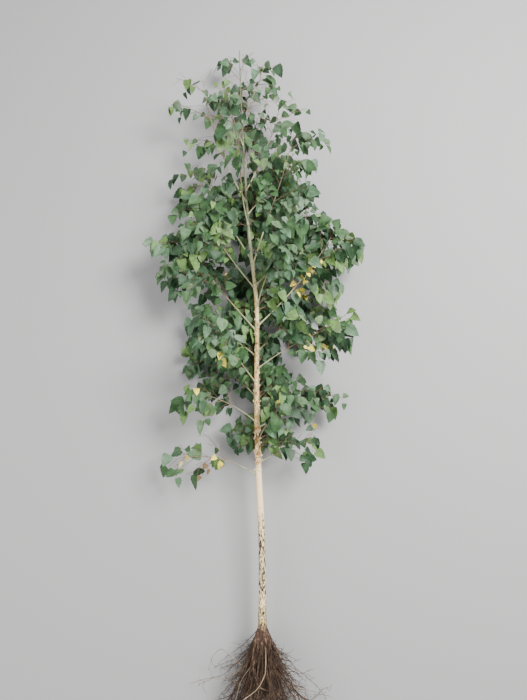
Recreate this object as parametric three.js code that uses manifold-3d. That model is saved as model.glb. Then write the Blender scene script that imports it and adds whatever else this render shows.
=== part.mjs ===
// A young birch tree, lifted with bare roots and laid down on level ground.
// Millimetres and degrees. +Y runs from the roots to the tip, +X to the right and +Z up, off the ground.
// While the tree is grown, the origin is on the ground below the root collar. At the end the tree
// is moved so that the origin is the middle of its bounding box's underside.
import * as THREE from "three";
import { mergeVertices } from "three/addons/utils/BufferGeometryUtils.js";
import Module from "manifold-3d";

const wasm = await Module();
wasm.setup();
const { Manifold, Mesh } = wasm;

// Driving sizes
const GAP = 0.3; // clear distance between solids that meet
const LINE_POINTS = 40; // stretches that a bough's or twig's curve is worked out in
const GROUND = { clear: 7, depth: 62, leaf: 0.4, tip: 2 }; // see pressed() and addLeaf()
const TRUNK = {
  line: [
    // sideways, up the tree and off the ground, about every 300 mm
    [0, 0, 108],
    [-2, 305, 122],
    [-17, 610, 141],
    [-23, 915, 159],
    [-24, 1220, 171],
    [-56, 1525, 174],
    [-76, 1830, 163],
    [-94, 2135, 143],
    [-106, 2437, 118],
  ],
  diameter: 29.5, // just above the flare
  tipDiameter: 3.2,
  power: 1.07, // of the taper
  flare: 7.5, // added to the diameter at the collar
  flareLength: 38,
  end: 0.87, // share of the line where the trunk ends and the leader's foliage starts
  sides: 12,
  steps: 20,
  crowding: 1.35, // of the rings towards the flare
};

// Every bough leaves the trunk at a height and an angle around it: 0 is right, 90 is up off the
// ground, 180 is left and 270 is into the ground. It rises towards the tip, and bends as it goes.
// The first share of its reach is bare, and the rest is the stem of a mass of foliage. Where that
// share is 0, the mass grows straight from the trunk.
const BOUGHS = [
  { name: "low_left", height: 549, around: 178, rise: 35, bend: -48, reach: 350, bare: 0.3 },
  { name: "low_right", height: 600, around: 12, rise: 26, bend: -8, reach: 230, bare: 0.22 },
  { name: "low_front", height: 668, around: 66, rise: 42, bend: -12, reach: 270, bare: 0.3 },
  { name: "second_right", height: 733, around: -8, rise: 27, bend: -4, reach: 330, bare: 0.28 },
  { name: "second_left", height: 752, around: 170, rise: 42, bend: -40, reach: 310, bare: 0.24 },
  { name: "back_left", height: 850, around: 222, rise: 40, bend: -20, reach: 400, bare: 0.24 },
  { name: "front_left", height: 905, around: 128, rise: 40, bend: -10, reach: 340, bare: 0.26 },
  { name: "third_right", height: 960, around: 18, rise: 34, bend: -16, reach: 390, bare: 0.28 },
  { name: "short_left", height: 1010, around: 196, rise: 42, bend: -20, reach: 330, bare: 0 },
  { name: "back_right", height: 1030, around: 318, rise: 42, bend: -6, reach: 410, bare: 0.28 },
  { name: "main_left", height: 1112, around: 177, rise: 48, bend: 6, reach: 530, bare: 0.3 },
  { name: "main_right", height: 1133, around: 3, rise: 42, bend: 20, reach: 540, bare: 0.3 },
  { name: "short_back", height: 1180, around: 256, rise: 50, bend: -10, reach: 300, bare: 0 },
  { name: "front_right", height: 1205, around: 62, rise: 50, bend: 4, reach: 370, bare: 0.28 },
  { name: "third_left", height: 1287, around: 158, rise: 48, bend: 2, reach: 420, bare: 0.28 },
  { name: "fork_right", height: 1300, around: -16, rise: 46, bend: 12, reach: 430, bare: 0.26 },
  { name: "steep_left", height: 1407, around: 190, rise: 60, bend: -4, reach: 540, bare: 0.34 },
  { name: "steep_right", height: 1385, around: 34, rise: 66, bend: 6, reach: 560, bare: 0.3 },
  { name: "back_high", height: 1490, around: 268, rise: 56, bend: 6, reach: 420, bare: 0.24 },
  { name: "front_high", height: 1560, around: 108, rise: 60, bend: 2, reach: 380, bare: 0.24 },
  { name: "short_right", height: 1610, around: 350, rise: 52, bend: -6, reach: 330, bare: 0 },
  { name: "long_left", height: 1667, around: 174, rise: 59, bend: 24, reach: 600, bare: 0.3 },
  { name: "upper_right", height: 1717, around: 14, rise: 60, bend: 20, reach: 460, bare: 0.24 },
  { name: "upper_back", height: 1830, around: 300, rise: 62, bend: 6, reach: 330, bare: 0 },
  { name: "top_left", height: 1935, around: 160, rise: 68, bend: 6, reach: 290, bare: 0 },
  { name: "top_right", height: 2050, around: 12, rise: 66, bend: 8, reach: 300, bare: 0 },
];
const LIMB = {
  diameter: 3.4, // where it leaves the trunk, and as much more as this share of its reach
  diameterShare: 0.0088,
  tipDiameter: 1.9,
  power: 0.9, // of the taper
  sway: 5, // how far it wanders from its curve
  sides: 5,
  steps: 4,
};

// Foliage: a mass is one stem with side twigs, and kite-shaped leaves on both.
const STEM = { least: 6.4, tipDiameter: 4.4, sides: 3, steps: 4 }; // least is at the stem's root
const TWIG = {
  first: 0.05, // share of the stem where the twigs begin, and where they end
  last: 0.9,
  spacing: 66,
  angle: 46, // away from the stem
  angleSpread: 16,
  share: 0.5, // of the stem's length, for the lowest twig
  upper: 0.45, // how much shorter the topmost twig is
  shortest: 58,
  longest: 190,
  roll: 42, // how far twigs turn out of the stem's plane
  hang: 0.3, // how far a twig droops, as a share of its length
  thickness: 0.6, // of the stem's, where the twig leaves it
  tipDiameter: 3.4,
  leavesFrom: 0.3,
  sides: 3,
};
const LEAF = {
  length: 78,
  spread: 0.18, // how much longer or shorter a leaf is
  width: 0.8, // of the length
  widest: 0.34, // of the length, from the leaf's root
  thickest: 0.2,
  thickness: 1.9,
  spacing: 40,
  sunk: 0, // past the twig's axis
  attempts: 4,
};

// Roots: a woody crown with main roots, each going on as a bunch of fine ones.
const CROWN = {
  length: 66,
  diameter: 50, // where it is widest
  endDiameter: 34,
  widest: 0.5, // of its length, which is also where the main roots start
  sides: 10,
  steps: 5,
};
const ROOTS = [
  { name: "left", around: 178, spread: 24, bend: 11, reach: 380 },
  { name: "upper_left", around: 128, spread: 17, bend: 10, reach: 350 },
  { name: "upper_right", around: 58, spread: 15, bend: 12, reach: 360 },
  { name: "right", around: 2, spread: 26, bend: 14, reach: 400 },
  { name: "lower_right", around: 318, spread: 20, bend: 10, reach: 370 },
  { name: "lower_middle", around: 262, spread: 11, bend: 6, reach: 350 },
  { name: "lower_left", around: 218, spread: 20, bend: 8, reach: 380 },
];
const ROOT = {
  bare: 0.44, // share of a root's reach that is one woody limb
  diameter: 15,
  endDiameter: 5.5,
  tipDiameter: 2.4,
  power: 0.8,
  sag: 62, // how far a root's end droops
  sway: 7,
  turn: 2.4, // how fast a root curves out and back
  sides: 5,
  steps: 4,
};
const FINE_ROOT = { spacing: 24, share: 0.62, upper: 0.4, angle: 36, angleSpread: 15, lift: 0.12 };

const ALONG = new THREE.Vector3(0, 1, 0);
const UP = new THREE.Vector3(0, 0, 1);
const GOLDEN_ANGLE = 137.5;
const radians = THREE.MathUtils.degToRad;

// A repeatable stream of numbers from 0 to 1.
function seeded(seed) {
  let state = Math.imul(seed + 11, 2654435761) >>> 0;
  return () => {
    state = (Math.imul(state, 1664525) + 1013904223) >>> 0;
    return state / 4294967296;
  };
}

// Limbs can't go below the ground: below GROUND.depth they level out to GROUND.clear above it.
function pressed(point) {
  const room = GROUND.depth - GROUND.clear;
  if (point.z < GROUND.depth)
    point.z = GROUND.clear + room * Math.exp((point.z - GROUND.depth) / room);
  return point;
}

// The part of a vector that is square to a direction, as a unit vector.
function squareTo(direction, vector) {
  return vector.clone().addScaledVector(direction, -vector.dot(direction)).normalize();
}

// A direction around the trunk, and the one square to it that a bough's plane turns about.
function aroundTrunk(degrees) {
  const angle = radians(degrees);
  const side = new THREE.Vector3(Math.cos(angle), 0, Math.sin(angle));
  return { side, across: side.clone().cross(ALONG).normalize() };
}

// A centreline: points, the line's direction at each, and the distance along it to each. Where no
// directions are given, the line at each point runs from the point before it to the one after.
class Line {
  constructor(points, directions) {
    const last = points.length - 1;
    const chord = (k) => points[Math.min(last, k + 1)].clone().sub(points[Math.max(0, k - 1)]);
    this.points = points;
    this.directions = directions ?? points.map((_, k) => chord(k).normalize());
    this.along = [0];
    for (let i = 1; i < points.length; i++)
      this.along.push(this.along[i - 1] + points[i].distanceTo(points[i - 1]));
    this.length = this.along.at(-1);
  }

  at(share) {
    const target = share * this.length;
    let i = 1;
    while (i < this.points.length - 1 && this.along[i] < target) i++;
    const part = (target - this.along[i - 1]) / (this.along[i] - this.along[i - 1]);
    return this.points[i - 1].clone().lerp(this.points[i], part);
  }

  // The direction over a short stretch around a share of the length.
  direction(share) {
    const reach = 0.02;
    const low = this.at(Math.max(0, share - reach));
    return this.at(Math.min(1, share + reach)).sub(low).normalize();
  }

  // A stretch of this line in a few straight steps, which may crowd towards its start.
  part(from, to, steps, crowding = 1) {
    const shareAt = (k) => from + (to - from) * (k / steps) ** crowding;
    const shares = Array.from({ length: steps + 1 }, (_, k) => shareAt(k));
    return new Line(
      shares.map((share) => this.at(share)),
      shares.map((share) => this.direction(share)),
    );
  }
}

// A curve that starts at a point and follows a changing direction, with a sag and a slight sway.
function turningLine(start, directionAt, length, sag, sway, across) {
  const points = [start.clone()];
  const point = start.clone();
  for (let i = 1; i <= LINE_POINTS; i++) {
    point.addScaledVector(directionAt((i - 0.5) / LINE_POINTS), length / LINE_POINTS);
    const share = i / LINE_POINTS;
    const bent = point.clone().addScaledVector(across, sway * Math.sin(2 * Math.PI * share));
    points.push(pressed(bent.addScaledVector(UP, -sag * share * share)));
  }
  return new Line(points);
}

// A radius that falls from one diameter to another by a power of what is left of the length.
function taper(root, tip, power) {
  return (share) => (tip + (root - tip) * Math.max(0, 1 - share) ** power) / 2;
}

// A mesh's geometry as a solid, with its shared vertices merged.
function solidOf(geometry) {
  geometry.deleteAttribute("normal");
  geometry.deleteAttribute("uv");
  const merged = mergeVertices(geometry, 1e-4);
  const vertProperties = new Float32Array(merged.attributes.position.array);
  const triVerts = new Uint32Array(merged.index.array);
  return new Manifold(new Mesh({ numProp: 3, vertProperties, triVerts }));
}

// A round limb along a line: a cylinder whose rings are moved onto the line's points. The cylinder's
// own axis is Y, from -0.5 at the limb's root to 0.5 at its end. All rings are turned the same way,
// from a direction square to the whole limb, so that none is twisted against the next.
function limb(line, radiusAt, sides, across) {
  const steps = line.points.length - 1;
  const way = line.points.at(-1).clone().sub(line.points[0]).normalize();
  const reference = squareTo(way, across);
  const geometry = new THREE.CylinderGeometry(1, 1, 1, sides, steps, false, Math.PI / 2);
  const position = geometry.attributes.position;
  for (let i = 0; i < position.count; i++) {
    const k = Math.round((position.getY(i) + 0.5) * steps);
    const tangent = line.directions[k];
    const normal = squareTo(tangent, reference);
    const radius = radiusAt(line.along[k] / line.length);
    const point = line.points[k]
      .clone()
      .addScaledVector(normal, position.getX(i) * radius)
      .addScaledVector(normal.cross(tangent), position.getZ(i) * radius);
    position.setXYZ(i, point.x, point.y, point.z);
  }
  return solidOf(geometry);
}

// One leaf: an octahedron drawn out to a kite, with its root sunk in the twig.
function leafSolid(root, direction, normal, length) {
  const geometry = new THREE.OctahedronGeometry(1, 0);
  const across = direction.clone().cross(normal);
  const position = geometry.attributes.position;
  for (let i = 0; i < position.count; i++) {
    const [x, y, z] = [position.getX(i), position.getY(i), position.getZ(i)];
    const middle = Math.abs(z) > 0.5 ? LEAF.thickest : LEAF.widest;
    const along = Math.abs(y) > 0.5 ? (y + 1) / 2 : middle;
    const point = root
      .clone()
      .addScaledVector(direction, along * length - LEAF.sunk)
      .addScaledVector(across, (x * LEAF.width * length) / 2)
      .addScaledVector(normal, (z * LEAF.thickness) / 2);
    position.setXYZ(i, point.x, point.y, point.z);
  }
  return solidOf(geometry);
}

// Solids are held as pieces, each with its box. Limbs are the pieces that foliage stays clear of.
const limbs = [];
const masses = [];
const pieceOf = (solid) => ({ solid, box: solid.boundingBox() });

function touches(a, b) {
  const apart = [0, 1, 2].some(
    (k) => a.box.min[k] > b.box.max[k] + GAP || b.box.min[k] > a.box.max[k] + GAP,
  );
  return !apart && a.solid.minGap(b.solid, GAP) < GAP;
}

// True if a new piece of a mass is clear of every limb and of every other piece but its carrier.
function hasRoom(piece, carrier) {
  if (limbs.some((other) => touches(piece, other))) return false;
  return !masses.some((mass) => mass.pieces.some((p) => p !== carrier && touches(piece, p)));
}

// True if a point is nearer to this mass's stem than to the stem of any mass of its kind.
function inOwnSpace(point, mass) {
  const reach = (m) => Math.min(...m.stem.points.map((p) => p.distanceToSquared(point)));
  const own = reach(mass);
  return masses.every((other) => other.kind !== mass.kind || reach(other) >= own);
}

// A mass's stem goes on from a bough, root or trunk, a gap's width clear of it.
function addMass(name, kind, line, from, across, rootDiameter) {
  const stem = line.part(from + GAP / line.length, 1, STEM.steps);
  const radiusAt = taper(Math.max(rootDiameter, STEM.least), STEM.tipDiameter, LIMB.power);
  let solid = limb(stem, radiusAt, STEM.sides, across);
  if (from === 0) solid = solid.subtract(trunkRoom);
  masses.push({ name, kind, stem, radiusAt, across, pieces: [pieceOf(solid)] });
}

// A side twig leaves the stem at an angle and a turn around it, curves back towards the stem's way,
// and droops towards the tree's foot. It is drawn straight, from where that curve starts to its end.
function addTwig(mass, share, turn, angle, length, hang, tipDiameter) {
  const stemDirection = mass.stem.direction(share);
  const normal = squareTo(stemDirection, mass.across);
  const flank = normal.clone().cross(stemDirection);
  const outward = flank.multiplyScalar(Math.cos(turn)).addScaledVector(normal, Math.sin(turn));
  const directionAt = (part) =>
    outward
      .clone()
      .multiplyScalar(Math.sin(angle))
      .addScaledVector(stemDirection, Math.cos(angle) + 0.35 * part)
      .addScaledVector(ALONG, -2 * hang * part)
      .normalize();
  const curve = turningLine(mass.stem.at(share), directionAt, length, hang * length * 0.25, 0, UP);
  const line = new Line([curve.at(0), curve.at(1)]);
  if (!inOwnSpace(line.at(0.75), mass) || !inOwnSpace(line.at(1), mass)) return null;
  const rootDiameter = 2 * TWIG.thickness * mass.radiusAt(share);
  const twig = pieceOf(limb(line, taper(rootDiameter, tipDiameter, 1), TWIG.sides, mass.across));
  if (!hasRoom(twig, mass.pieces[0])) return null;
  mass.pieces.push(twig);
  return { twig, line };
}

// Leaves hang towards the tree's foot and lie mostly flat, because the tree stood until lately.
function leafPose(twigDirection, side, random) {
  const direction = new THREE.Vector3(random() - 0.5, random() - 1.35, 0.9 * random() - 0.57)
    .addScaledVector(twigDirection, 0.5)
    .addScaledVector(side, 0.75)
    .normalize();
  const facing = new THREE.Vector3(1.3 * random() - 0.65, 1.3 * random() - 0.65, 1);
  return { direction, normal: squareTo(direction, facing) };
}

// Sets one leaf on a twig. A leaf that finds no room turns another way, a few times, and is then
// left out. Near the ground it lies flat.
function addLeaf(mass, carrier, root, twigDirection, side, random) {
  const length = LEAF.length * (1 + LEAF.spread * (2 * random() - 1));
  for (let attempt = 0; attempt < LEAF.attempts; attempt++) {
    const { direction, normal } = leafPose(twigDirection, side, random);
    const tip = root.z + direction.z * length;
    if (tip < GROUND.tip) direction.setZ((GROUND.tip - root.z) / length).normalize();
    if (tip < GROUND.depth / 2) normal.lerp(squareTo(direction, UP), 0.7);
    const leaf = pieceOf(leafSolid(root, direction, squareTo(direction, normal), length));
    const middle = root.clone().addScaledVector(direction, length / 2);
    if (leaf.box.min[2] < GROUND.leaf || !inOwnSpace(middle, mass)) continue;
    if (!hasRoom(leaf, carrier)) continue;
    mass.pieces.push(leaf);
    return;
  }
}

// Sets leaves on both sides of a line in turn, and one at its end.
function addLeaves(mass, carrier, line, from, random) {
  const count = Math.max(1, Math.round((line.length * (1 - from)) / LEAF.spacing));
  for (let i = 0; i <= count; i++) {
    const share = Math.min(1, from + ((1 - from) * (i + 0.4)) / (count + 0.4));
    const twigDirection = line.direction(share);
    const flank = squareTo(twigDirection, mass.across).cross(twigDirection);
    const turn = i === count ? 0 : i % 2 ? 1 : -1;
    addLeaf(mass, carrier, line.at(share), twigDirection, flank.multiplyScalar(turn), random);
  }
}

// Grows one mass of foliage: twigs to both sides of the stem in turn, then the stem's own leaves.
function growFoliage(mass, seed) {
  const twigRandom = seeded(seed);
  const leafRandom = seeded(seed + 500);
  const count = Math.round(mass.stem.length / TWIG.spacing);
  for (let i = 0; i < count; i++) {
    const share = TWIG.first + ((TWIG.last - TWIG.first) * (i + 0.5)) / count;
    const turn = (i % 2 ? Math.PI : 0) + radians(TWIG.roll) * (2 * twigRandom() - 1);
    const angle = radians(TWIG.angle + TWIG.angleSpread * (twigRandom() - 0.5));
    const full = mass.stem.length * TWIG.share * (1 - TWIG.upper * share);
    const uneven = full * (0.75 + 0.5 * twigRandom());
    const length = THREE.MathUtils.clamp(uneven, TWIG.shortest, TWIG.longest);
    const hang = TWIG.hang * (0.5 + twigRandom());
    const grown = addTwig(mass, share, turn, angle, length, hang, TWIG.tipDiameter);
    if (grown) addLeaves(mass, grown.twig, grown.line, TWIG.leavesFrom, leafRandom);
  }
  addLeaves(mass, mass.pieces[0], mass.stem, 0.1, leafRandom);
}

// Grows one bunch of fine roots, all round its stem.
function growRoots(mass, seed) {
  const random = seeded(seed + 900);
  const count = Math.round(mass.stem.length / FINE_ROOT.spacing);
  for (let i = 0; i < count; i++) {
    const share = 0.06 + (0.9 * (i + 0.3)) / count;
    const turn = radians(i * GOLDEN_ANGLE) + random();
    const angle = radians(FINE_ROOT.angle + FINE_ROOT.angleSpread * (2 * random() - 1));
    const full = mass.stem.length * FINE_ROOT.share * (1 - FINE_ROOT.upper * share);
    const length = full * (0.7 + 0.6 * random());
    addTwig(mass, share, turn, angle, length, -FINE_ROOT.lift * random(), ROOT.tipDiameter);
  }
}

// Joins a mass's pieces into one solid, without any loose scrap.
function joined(mass) {
  const bodies = Manifold.union(mass.pieces.map((piece) => piece.solid)).decompose();
  return bodies.sort((a, b) => b.volume() - a.volume())[0];
}

const nodes = [];
const BARK = { color: 0xd9cdb4, roughness: 0.75 };
const BOUGH_BARK = { color: 0x8a6a52, roughness: 0.7 };
const LEAVES = { color: 0x4f7a45, roughness: 0.6 };
const ROOT_BARK = { color: 0x4a3426, roughness: 0.9 };

function addLimb(name, solid, finish) {
  limbs.push(pieceOf(solid));
  nodes.push({ name, solid, finish });
}

// The trunk, and the same grown by the gap, which cuts whatever grows from it clear.
const trunkLine = new Line(
  new THREE.CatmullRomCurve3(TRUNK.line.map((p) => new THREE.Vector3(...p))).getPoints(64),
);
const trunkPart = trunkLine.part(0, TRUNK.end, TRUNK.steps, TRUNK.crowding);
const wholeTaper = taper(TRUNK.diameter, TRUNK.tipDiameter, TRUNK.power);
function trunkRadius(share) {
  const flare = TRUNK.flare * Math.exp((-share * trunkPart.length) / TRUNK.flareLength);
  return wholeTaper(share * TRUNK.end) + flare / 2;
}
addLimb("trunk", limb(trunkPart, trunkRadius, TRUNK.sides, UP), BARK);
const trunkRoom = limb(trunkPart, (share) => trunkRadius(share) + GAP, TRUNK.sides, UP);

// The root crown swells below the collar, goes in again, and carries the main roots.
const collarWay = trunkPart.directions[0];
const crownLine = new Line([
  trunkLine.at(0).addScaledVector(collarWay, -GAP),
  trunkLine.at(0).addScaledVector(collarWay, -CROWN.length),
]);
function crownRadius(share) {
  const top = trunkRadius(0);
  if (share > CROWN.widest) {
    const past = (share - CROWN.widest) / (1 - CROWN.widest);
    return (CROWN.diameter + (CROWN.endDiameter - CROWN.diameter) * past) / 2;
  }
  return top + (CROWN.diameter / 2 - top) * Math.sin((share / CROWN.widest) * (Math.PI / 2));
}
let crown = limb(crownLine.part(0, 1, CROWN.steps), crownRadius, CROWN.sides, UP);
for (const { name, around, spread, bend, reach } of ROOTS) {
  const { side, across } = aroundTrunk(around);
  const directionAt = (share) => {
    const angle = radians(spread + bend * Math.sin(share * ROOT.turn));
    return side.clone().multiplyScalar(Math.sin(angle)).addScaledVector(ALONG, -Math.cos(angle));
  };
  const start = crownLine.at(CROWN.widest);
  const line = turningLine(start, directionAt, reach, ROOT.sag, ROOT.sway, across);
  const radiusAt = taper(ROOT.diameter, ROOT.endDiameter, ROOT.power);
  crown = crown.add(limb(line.part(0, ROOT.bare, ROOT.steps), radiusAt, ROOT.sides, across));
  addMass(`roots_${name}`, "roots", line, ROOT.bare, across, ROOT.endDiameter);
}
addLimb("root_crown", crown, ROOT_BARK);

// The boughs, as far as their foliage, and the foliage's stems.
for (const { name, height, around, rise, bend, reach, bare } of BOUGHS) {
  const { side, across } = aroundTrunk(around);
  const directionAt = (share) => {
    const angle = radians(rise + bend * share);
    return side.clone().multiplyScalar(Math.cos(angle)).addScaledVector(ALONG, Math.sin(angle));
  };
  const start = trunkLine.at(height / TRUNK.line.at(-1)[1]);
  const line = turningLine(start, directionAt, reach, 0, LIMB.sway, across);
  const radiusAt = taper(LIMB.diameter + LIMB.diameterShare * reach, LIMB.tipDiameter, LIMB.power);
  addMass(`foliage_${name}`, "foliage", line, bare, across, 2 * radiusAt(bare));
  if (bare === 0) continue;
  const bareRadius = (share) => radiusAt(share * bare);
  const whole = limb(line.part(0, bare, LIMB.steps), bareRadius, LIMB.sides, across);
  addLimb(`bough_${name}`, whole.subtract(trunkRoom), BOUGH_BARK);
}
addMass("foliage_leader", "foliage", trunkLine, TRUNK.end, UP, 2 * trunkRadius(1));

// The masses, each in its own space.
masses.forEach((mass, index) => {
  const isRoots = mass.kind === "roots";
  if (isRoots) growRoots(mass, index);
  else growFoliage(mass, index);
  nodes.push({ name: mass.name, solid: joined(mass), finish: isRoots ? ROOT_BARK : LEAVES });
});

// The whole tree, moved so that it rests on the ground with the middle of its box over the origin.
const tree = new THREE.Group();
const box = new THREE.Box3();
for (const { name, solid, finish } of nodes) {
  const { vertProperties, triVerts } = solid.getMesh();
  const geometry = new THREE.BufferGeometry();
  geometry.setAttribute("position", new THREE.BufferAttribute(vertProperties, 3));
  geometry.setIndex(new THREE.BufferAttribute(triVerts, 1));
  geometry.computeVertexNormals();
  const mesh = new THREE.Mesh(geometry, new THREE.MeshStandardMaterial({ ...finish, metalness: 0 }));
  mesh.name = name;
  tree.add(mesh);
  box.expandByObject(mesh);
}
tree.position.set(-(box.min.x + box.max.x) / 2, -(box.min.y + box.max.y) / 2, -box.min.z);

export default tree;
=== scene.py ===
"""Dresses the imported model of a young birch, lifted with bare roots and laid on level ground.

The trunk, the boughs and the roots are drawn again with their bark's relief. The masses of foliage
are grown again by the source's rule and carried on to finer twigs, with a leaf at every bud.
Metres throughout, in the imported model's frame: +Y runs from the roots to the tip, +X to the right
and +Z up, off the ground.
"""

import logging
from dataclasses import dataclass, field
from enum import Enum
from functools import cached_property
from typing import Sequence, Union

import bpy
import numpy as np
import numpy.typing as npt
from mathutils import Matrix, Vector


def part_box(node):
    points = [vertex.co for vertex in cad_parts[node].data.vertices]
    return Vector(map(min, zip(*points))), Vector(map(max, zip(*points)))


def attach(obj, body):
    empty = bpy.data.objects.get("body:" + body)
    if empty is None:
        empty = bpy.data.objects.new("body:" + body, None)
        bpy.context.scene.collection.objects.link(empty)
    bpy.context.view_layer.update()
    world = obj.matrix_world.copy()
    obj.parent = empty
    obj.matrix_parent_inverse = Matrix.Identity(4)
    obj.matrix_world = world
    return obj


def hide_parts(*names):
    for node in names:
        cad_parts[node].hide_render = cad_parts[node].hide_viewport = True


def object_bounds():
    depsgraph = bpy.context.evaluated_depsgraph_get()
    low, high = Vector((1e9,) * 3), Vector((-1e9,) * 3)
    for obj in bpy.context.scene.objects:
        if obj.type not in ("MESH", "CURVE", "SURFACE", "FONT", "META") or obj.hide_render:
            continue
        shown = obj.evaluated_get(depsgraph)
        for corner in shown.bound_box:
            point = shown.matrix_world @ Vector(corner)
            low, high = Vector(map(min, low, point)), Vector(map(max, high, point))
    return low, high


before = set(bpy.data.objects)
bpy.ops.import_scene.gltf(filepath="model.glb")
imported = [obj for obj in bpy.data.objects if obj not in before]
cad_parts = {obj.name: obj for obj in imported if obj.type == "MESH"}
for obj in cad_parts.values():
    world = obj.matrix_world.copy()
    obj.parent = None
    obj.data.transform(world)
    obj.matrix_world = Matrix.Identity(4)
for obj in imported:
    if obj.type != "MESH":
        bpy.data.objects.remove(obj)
CAD_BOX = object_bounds()

log = logging.getLogger("birch")

Floats = npt.NDArray[np.float64]
Whole = npt.NDArray[np.int64]
Chosen = npt.NDArray[np.bool_]
Numbers = Union[float, Floats]
Span = tuple[float, float]
Band = tuple[float, float, float, float]  # rises over the first two, falls over the last two
Colour = tuple[float, float, float]
Socket = bpy.types.NodeSocket
Value = Union[float, Colour, Socket]

ALONG = np.array([0.0, 1.0, 0.0])
UP = np.array([0.0, 0.0, 1.0])
RIGHT = np.array([1.0, 0.0, 0.0])
GOLDEN_ANGLE = np.radians(137.5)
TINY = 1e-12  # the least length that a vector is divided by

# For the noise, which scrambles the numbers of its cells
AXIS_FACTORS = np.array([73856093, 19349663, 83492791])
SEED_FACTOR, MIX_FACTOR = 2246822519, 1274126177
LOW_BITS, KEPT_BITS = 0xFFFF, 0xFFFFFFFF


# Vectors, repeatable numbers and noise


def unit(vectors: Floats) -> Floats:
    """Vectors, each divided by its own length."""
    return vectors / np.maximum(np.linalg.norm(vectors, axis=-1, keepdims=True), TINY)


def square_to(directions: Floats, vectors: Floats) -> Floats:
    """The part of each vector that is square to a direction, as a unit vector."""
    return unit(vectors - directions * (vectors * directions).sum(-1, keepdims=True))


def square_pair(directions: Floats, vector: Floats) -> tuple[Floats, Floats]:
    """Two unit vectors square to each direction and to each other, the first nearest a vector."""
    first = square_to(directions, np.broadcast_to(vector, directions.shape))
    return first, np.cross(directions, first)


def turned(first: Floats, second: Floats, angle: Numbers) -> Floats:
    """One vector turned towards another: cosine times the first + sine times the second."""
    return first * np.cos(angle)[..., None] + second * np.sin(angle)[..., None]


def around_trunk(degrees: Numbers) -> Floats:
    """Unit vectors square to +Y: 0 is right, 90 is up off the ground and 180 is left."""
    return turned(RIGHT, UP, np.radians(degrees))


def across_from(degrees: float) -> Floats:
    """The unit vector square to +Y and to the one around the trunk at an angle."""
    return unit(np.cross(around_trunk(degrees), ALONG))


def eased(part: Floats) -> Floats:
    """3 t squared - 2 t cubed, a smooth rise from 0 to 1."""
    return part * part * (3.0 - 2.0 * part)


def ramped(values: Floats, low: float, high: float) -> Floats:
    """0 below low, 1 above high, and a smooth rise between them."""
    return eased(np.clip((values - low) / (high - low), 0.0, 1.0))


def banded(values: Floats, band: Band) -> Floats:
    """A smooth rise over a band's first two values, and a smooth fall over its last two."""
    return ramped(values, *band[:2]) * (1.0 - ramped(values, *band[2:]))


def bell(distance: Floats, width: Numbers, power: int = 2) -> Floats:
    """A bell curve: e to the power -(distance / width) to a power."""
    return np.exp(-((distance / width) ** power))


class Draws:
    """The source's repeatable stream of numbers from 0 to 1, so that the same twigs grow here."""

    RANGE = 2**32
    FIRST_SEED, SEED_FACTOR = 11, 2654435761
    FACTOR, STEP = 1664525, 1013904223

    def __init__(self, seed: int) -> None:
        """Starts the stream for a seed."""
        self.state = (seed + self.FIRST_SEED) * self.SEED_FACTOR % self.RANGE

    def next(self) -> float:
        """The next number of the stream."""
        self.state = (self.state * self.FACTOR + self.STEP) % self.RANGE
        return self.state / self.RANGE


def noise(points: Floats, cell: Colour, seed: int) -> Floats:
    """Smooth noise from 0 to 1 at points.

    Every corner of a lattice of cells has its own scrambled number, and between the corners the
    numbers are blended by 3 t squared - 2 t cubed along each axis.

    Args:
        points: an array of points, in the last axis.
        cell: the size of a cell along each axis.
        seed: picks another set of numbers.

    Returns:
        One number for each point.
    """
    scaled = points / np.array(cell)
    corner = np.floor(scaled).astype(np.int64)
    part = eased(scaled - corner)
    total = np.zeros(points.shape[:-1])
    for step in np.ndindex(2, 2, 2):
        mixed = ((corner + np.array(step)) * AXIS_FACTORS).sum(-1) + seed * SEED_FACTOR
        mixed = ((mixed ^ (mixed >> 13)) * MIX_FACTOR) & KEPT_BITS
        mixed = mixed ^ (mixed >> 16)
        weight = np.where(np.array(step) == 1, part, 1.0 - part).prod(-1)
        total += weight * (mixed & LOW_BITS) / LOW_BITS
    return total


def relief(points: Floats, cell: Colour, seed: int) -> Floats:
    """The same noise from -0.5 to 0.5, as relief has it."""
    return noise(points, cell, seed) - 0.5


@dataclass(frozen=True)
class Ground:
    """How what lies on the ground keeps off it."""

    clear: float  # the height that nothing goes below
    depth: float  # the height where the levelling starts

    def under(self, points: Floats) -> Floats:
        """Levels points out above the ground.

        Below depth, a height becomes clear + room times e to the power (height - depth) / room,
        where room is depth - clear.

        Args:
            points: any array of points, in the last axis.

        Returns:
            The points with their new heights.
        """
        room = self.depth - self.clear
        height = points[..., 2]
        level = self.clear + room * np.exp((np.minimum(height, self.depth) - self.depth) / room)
        lifted = np.where(height < self.depth, level, height)
        return np.concatenate([points[..., :2], lifted[..., None]], axis=-1)


# Centrelines


class Line:
    """A centreline through points, read by its share of the length."""

    def __init__(self, points: Floats) -> None:
        """Measures the distance along the line to each of its points."""
        self.points = np.asarray(points, float)
        steps = np.linalg.norm(np.diff(self.points, axis=0), axis=1)
        self.along = np.concatenate([[0.0], np.cumsum(steps)])
        self.length = float(self.along[-1])

    def at(self, shares: Numbers) -> Floats:
        """The points of the line at shares of its length."""
        target = np.clip(shares, 0.0, 1.0) * self.length
        return np.stack([np.interp(target, self.along, self.points[:, k]) for k in range(3)], -1)

    def direction(self, shares: Numbers, reach: float = 0.02) -> Floats:
        """The line's direction at shares of its length, over a short stretch to both sides."""
        return unit(self.at(shares + reach) - self.at(shares - reach))

    def moved(self, shift: Floats) -> "Line":
        """The same line in another place."""
        return Line(self.points + shift)


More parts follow.
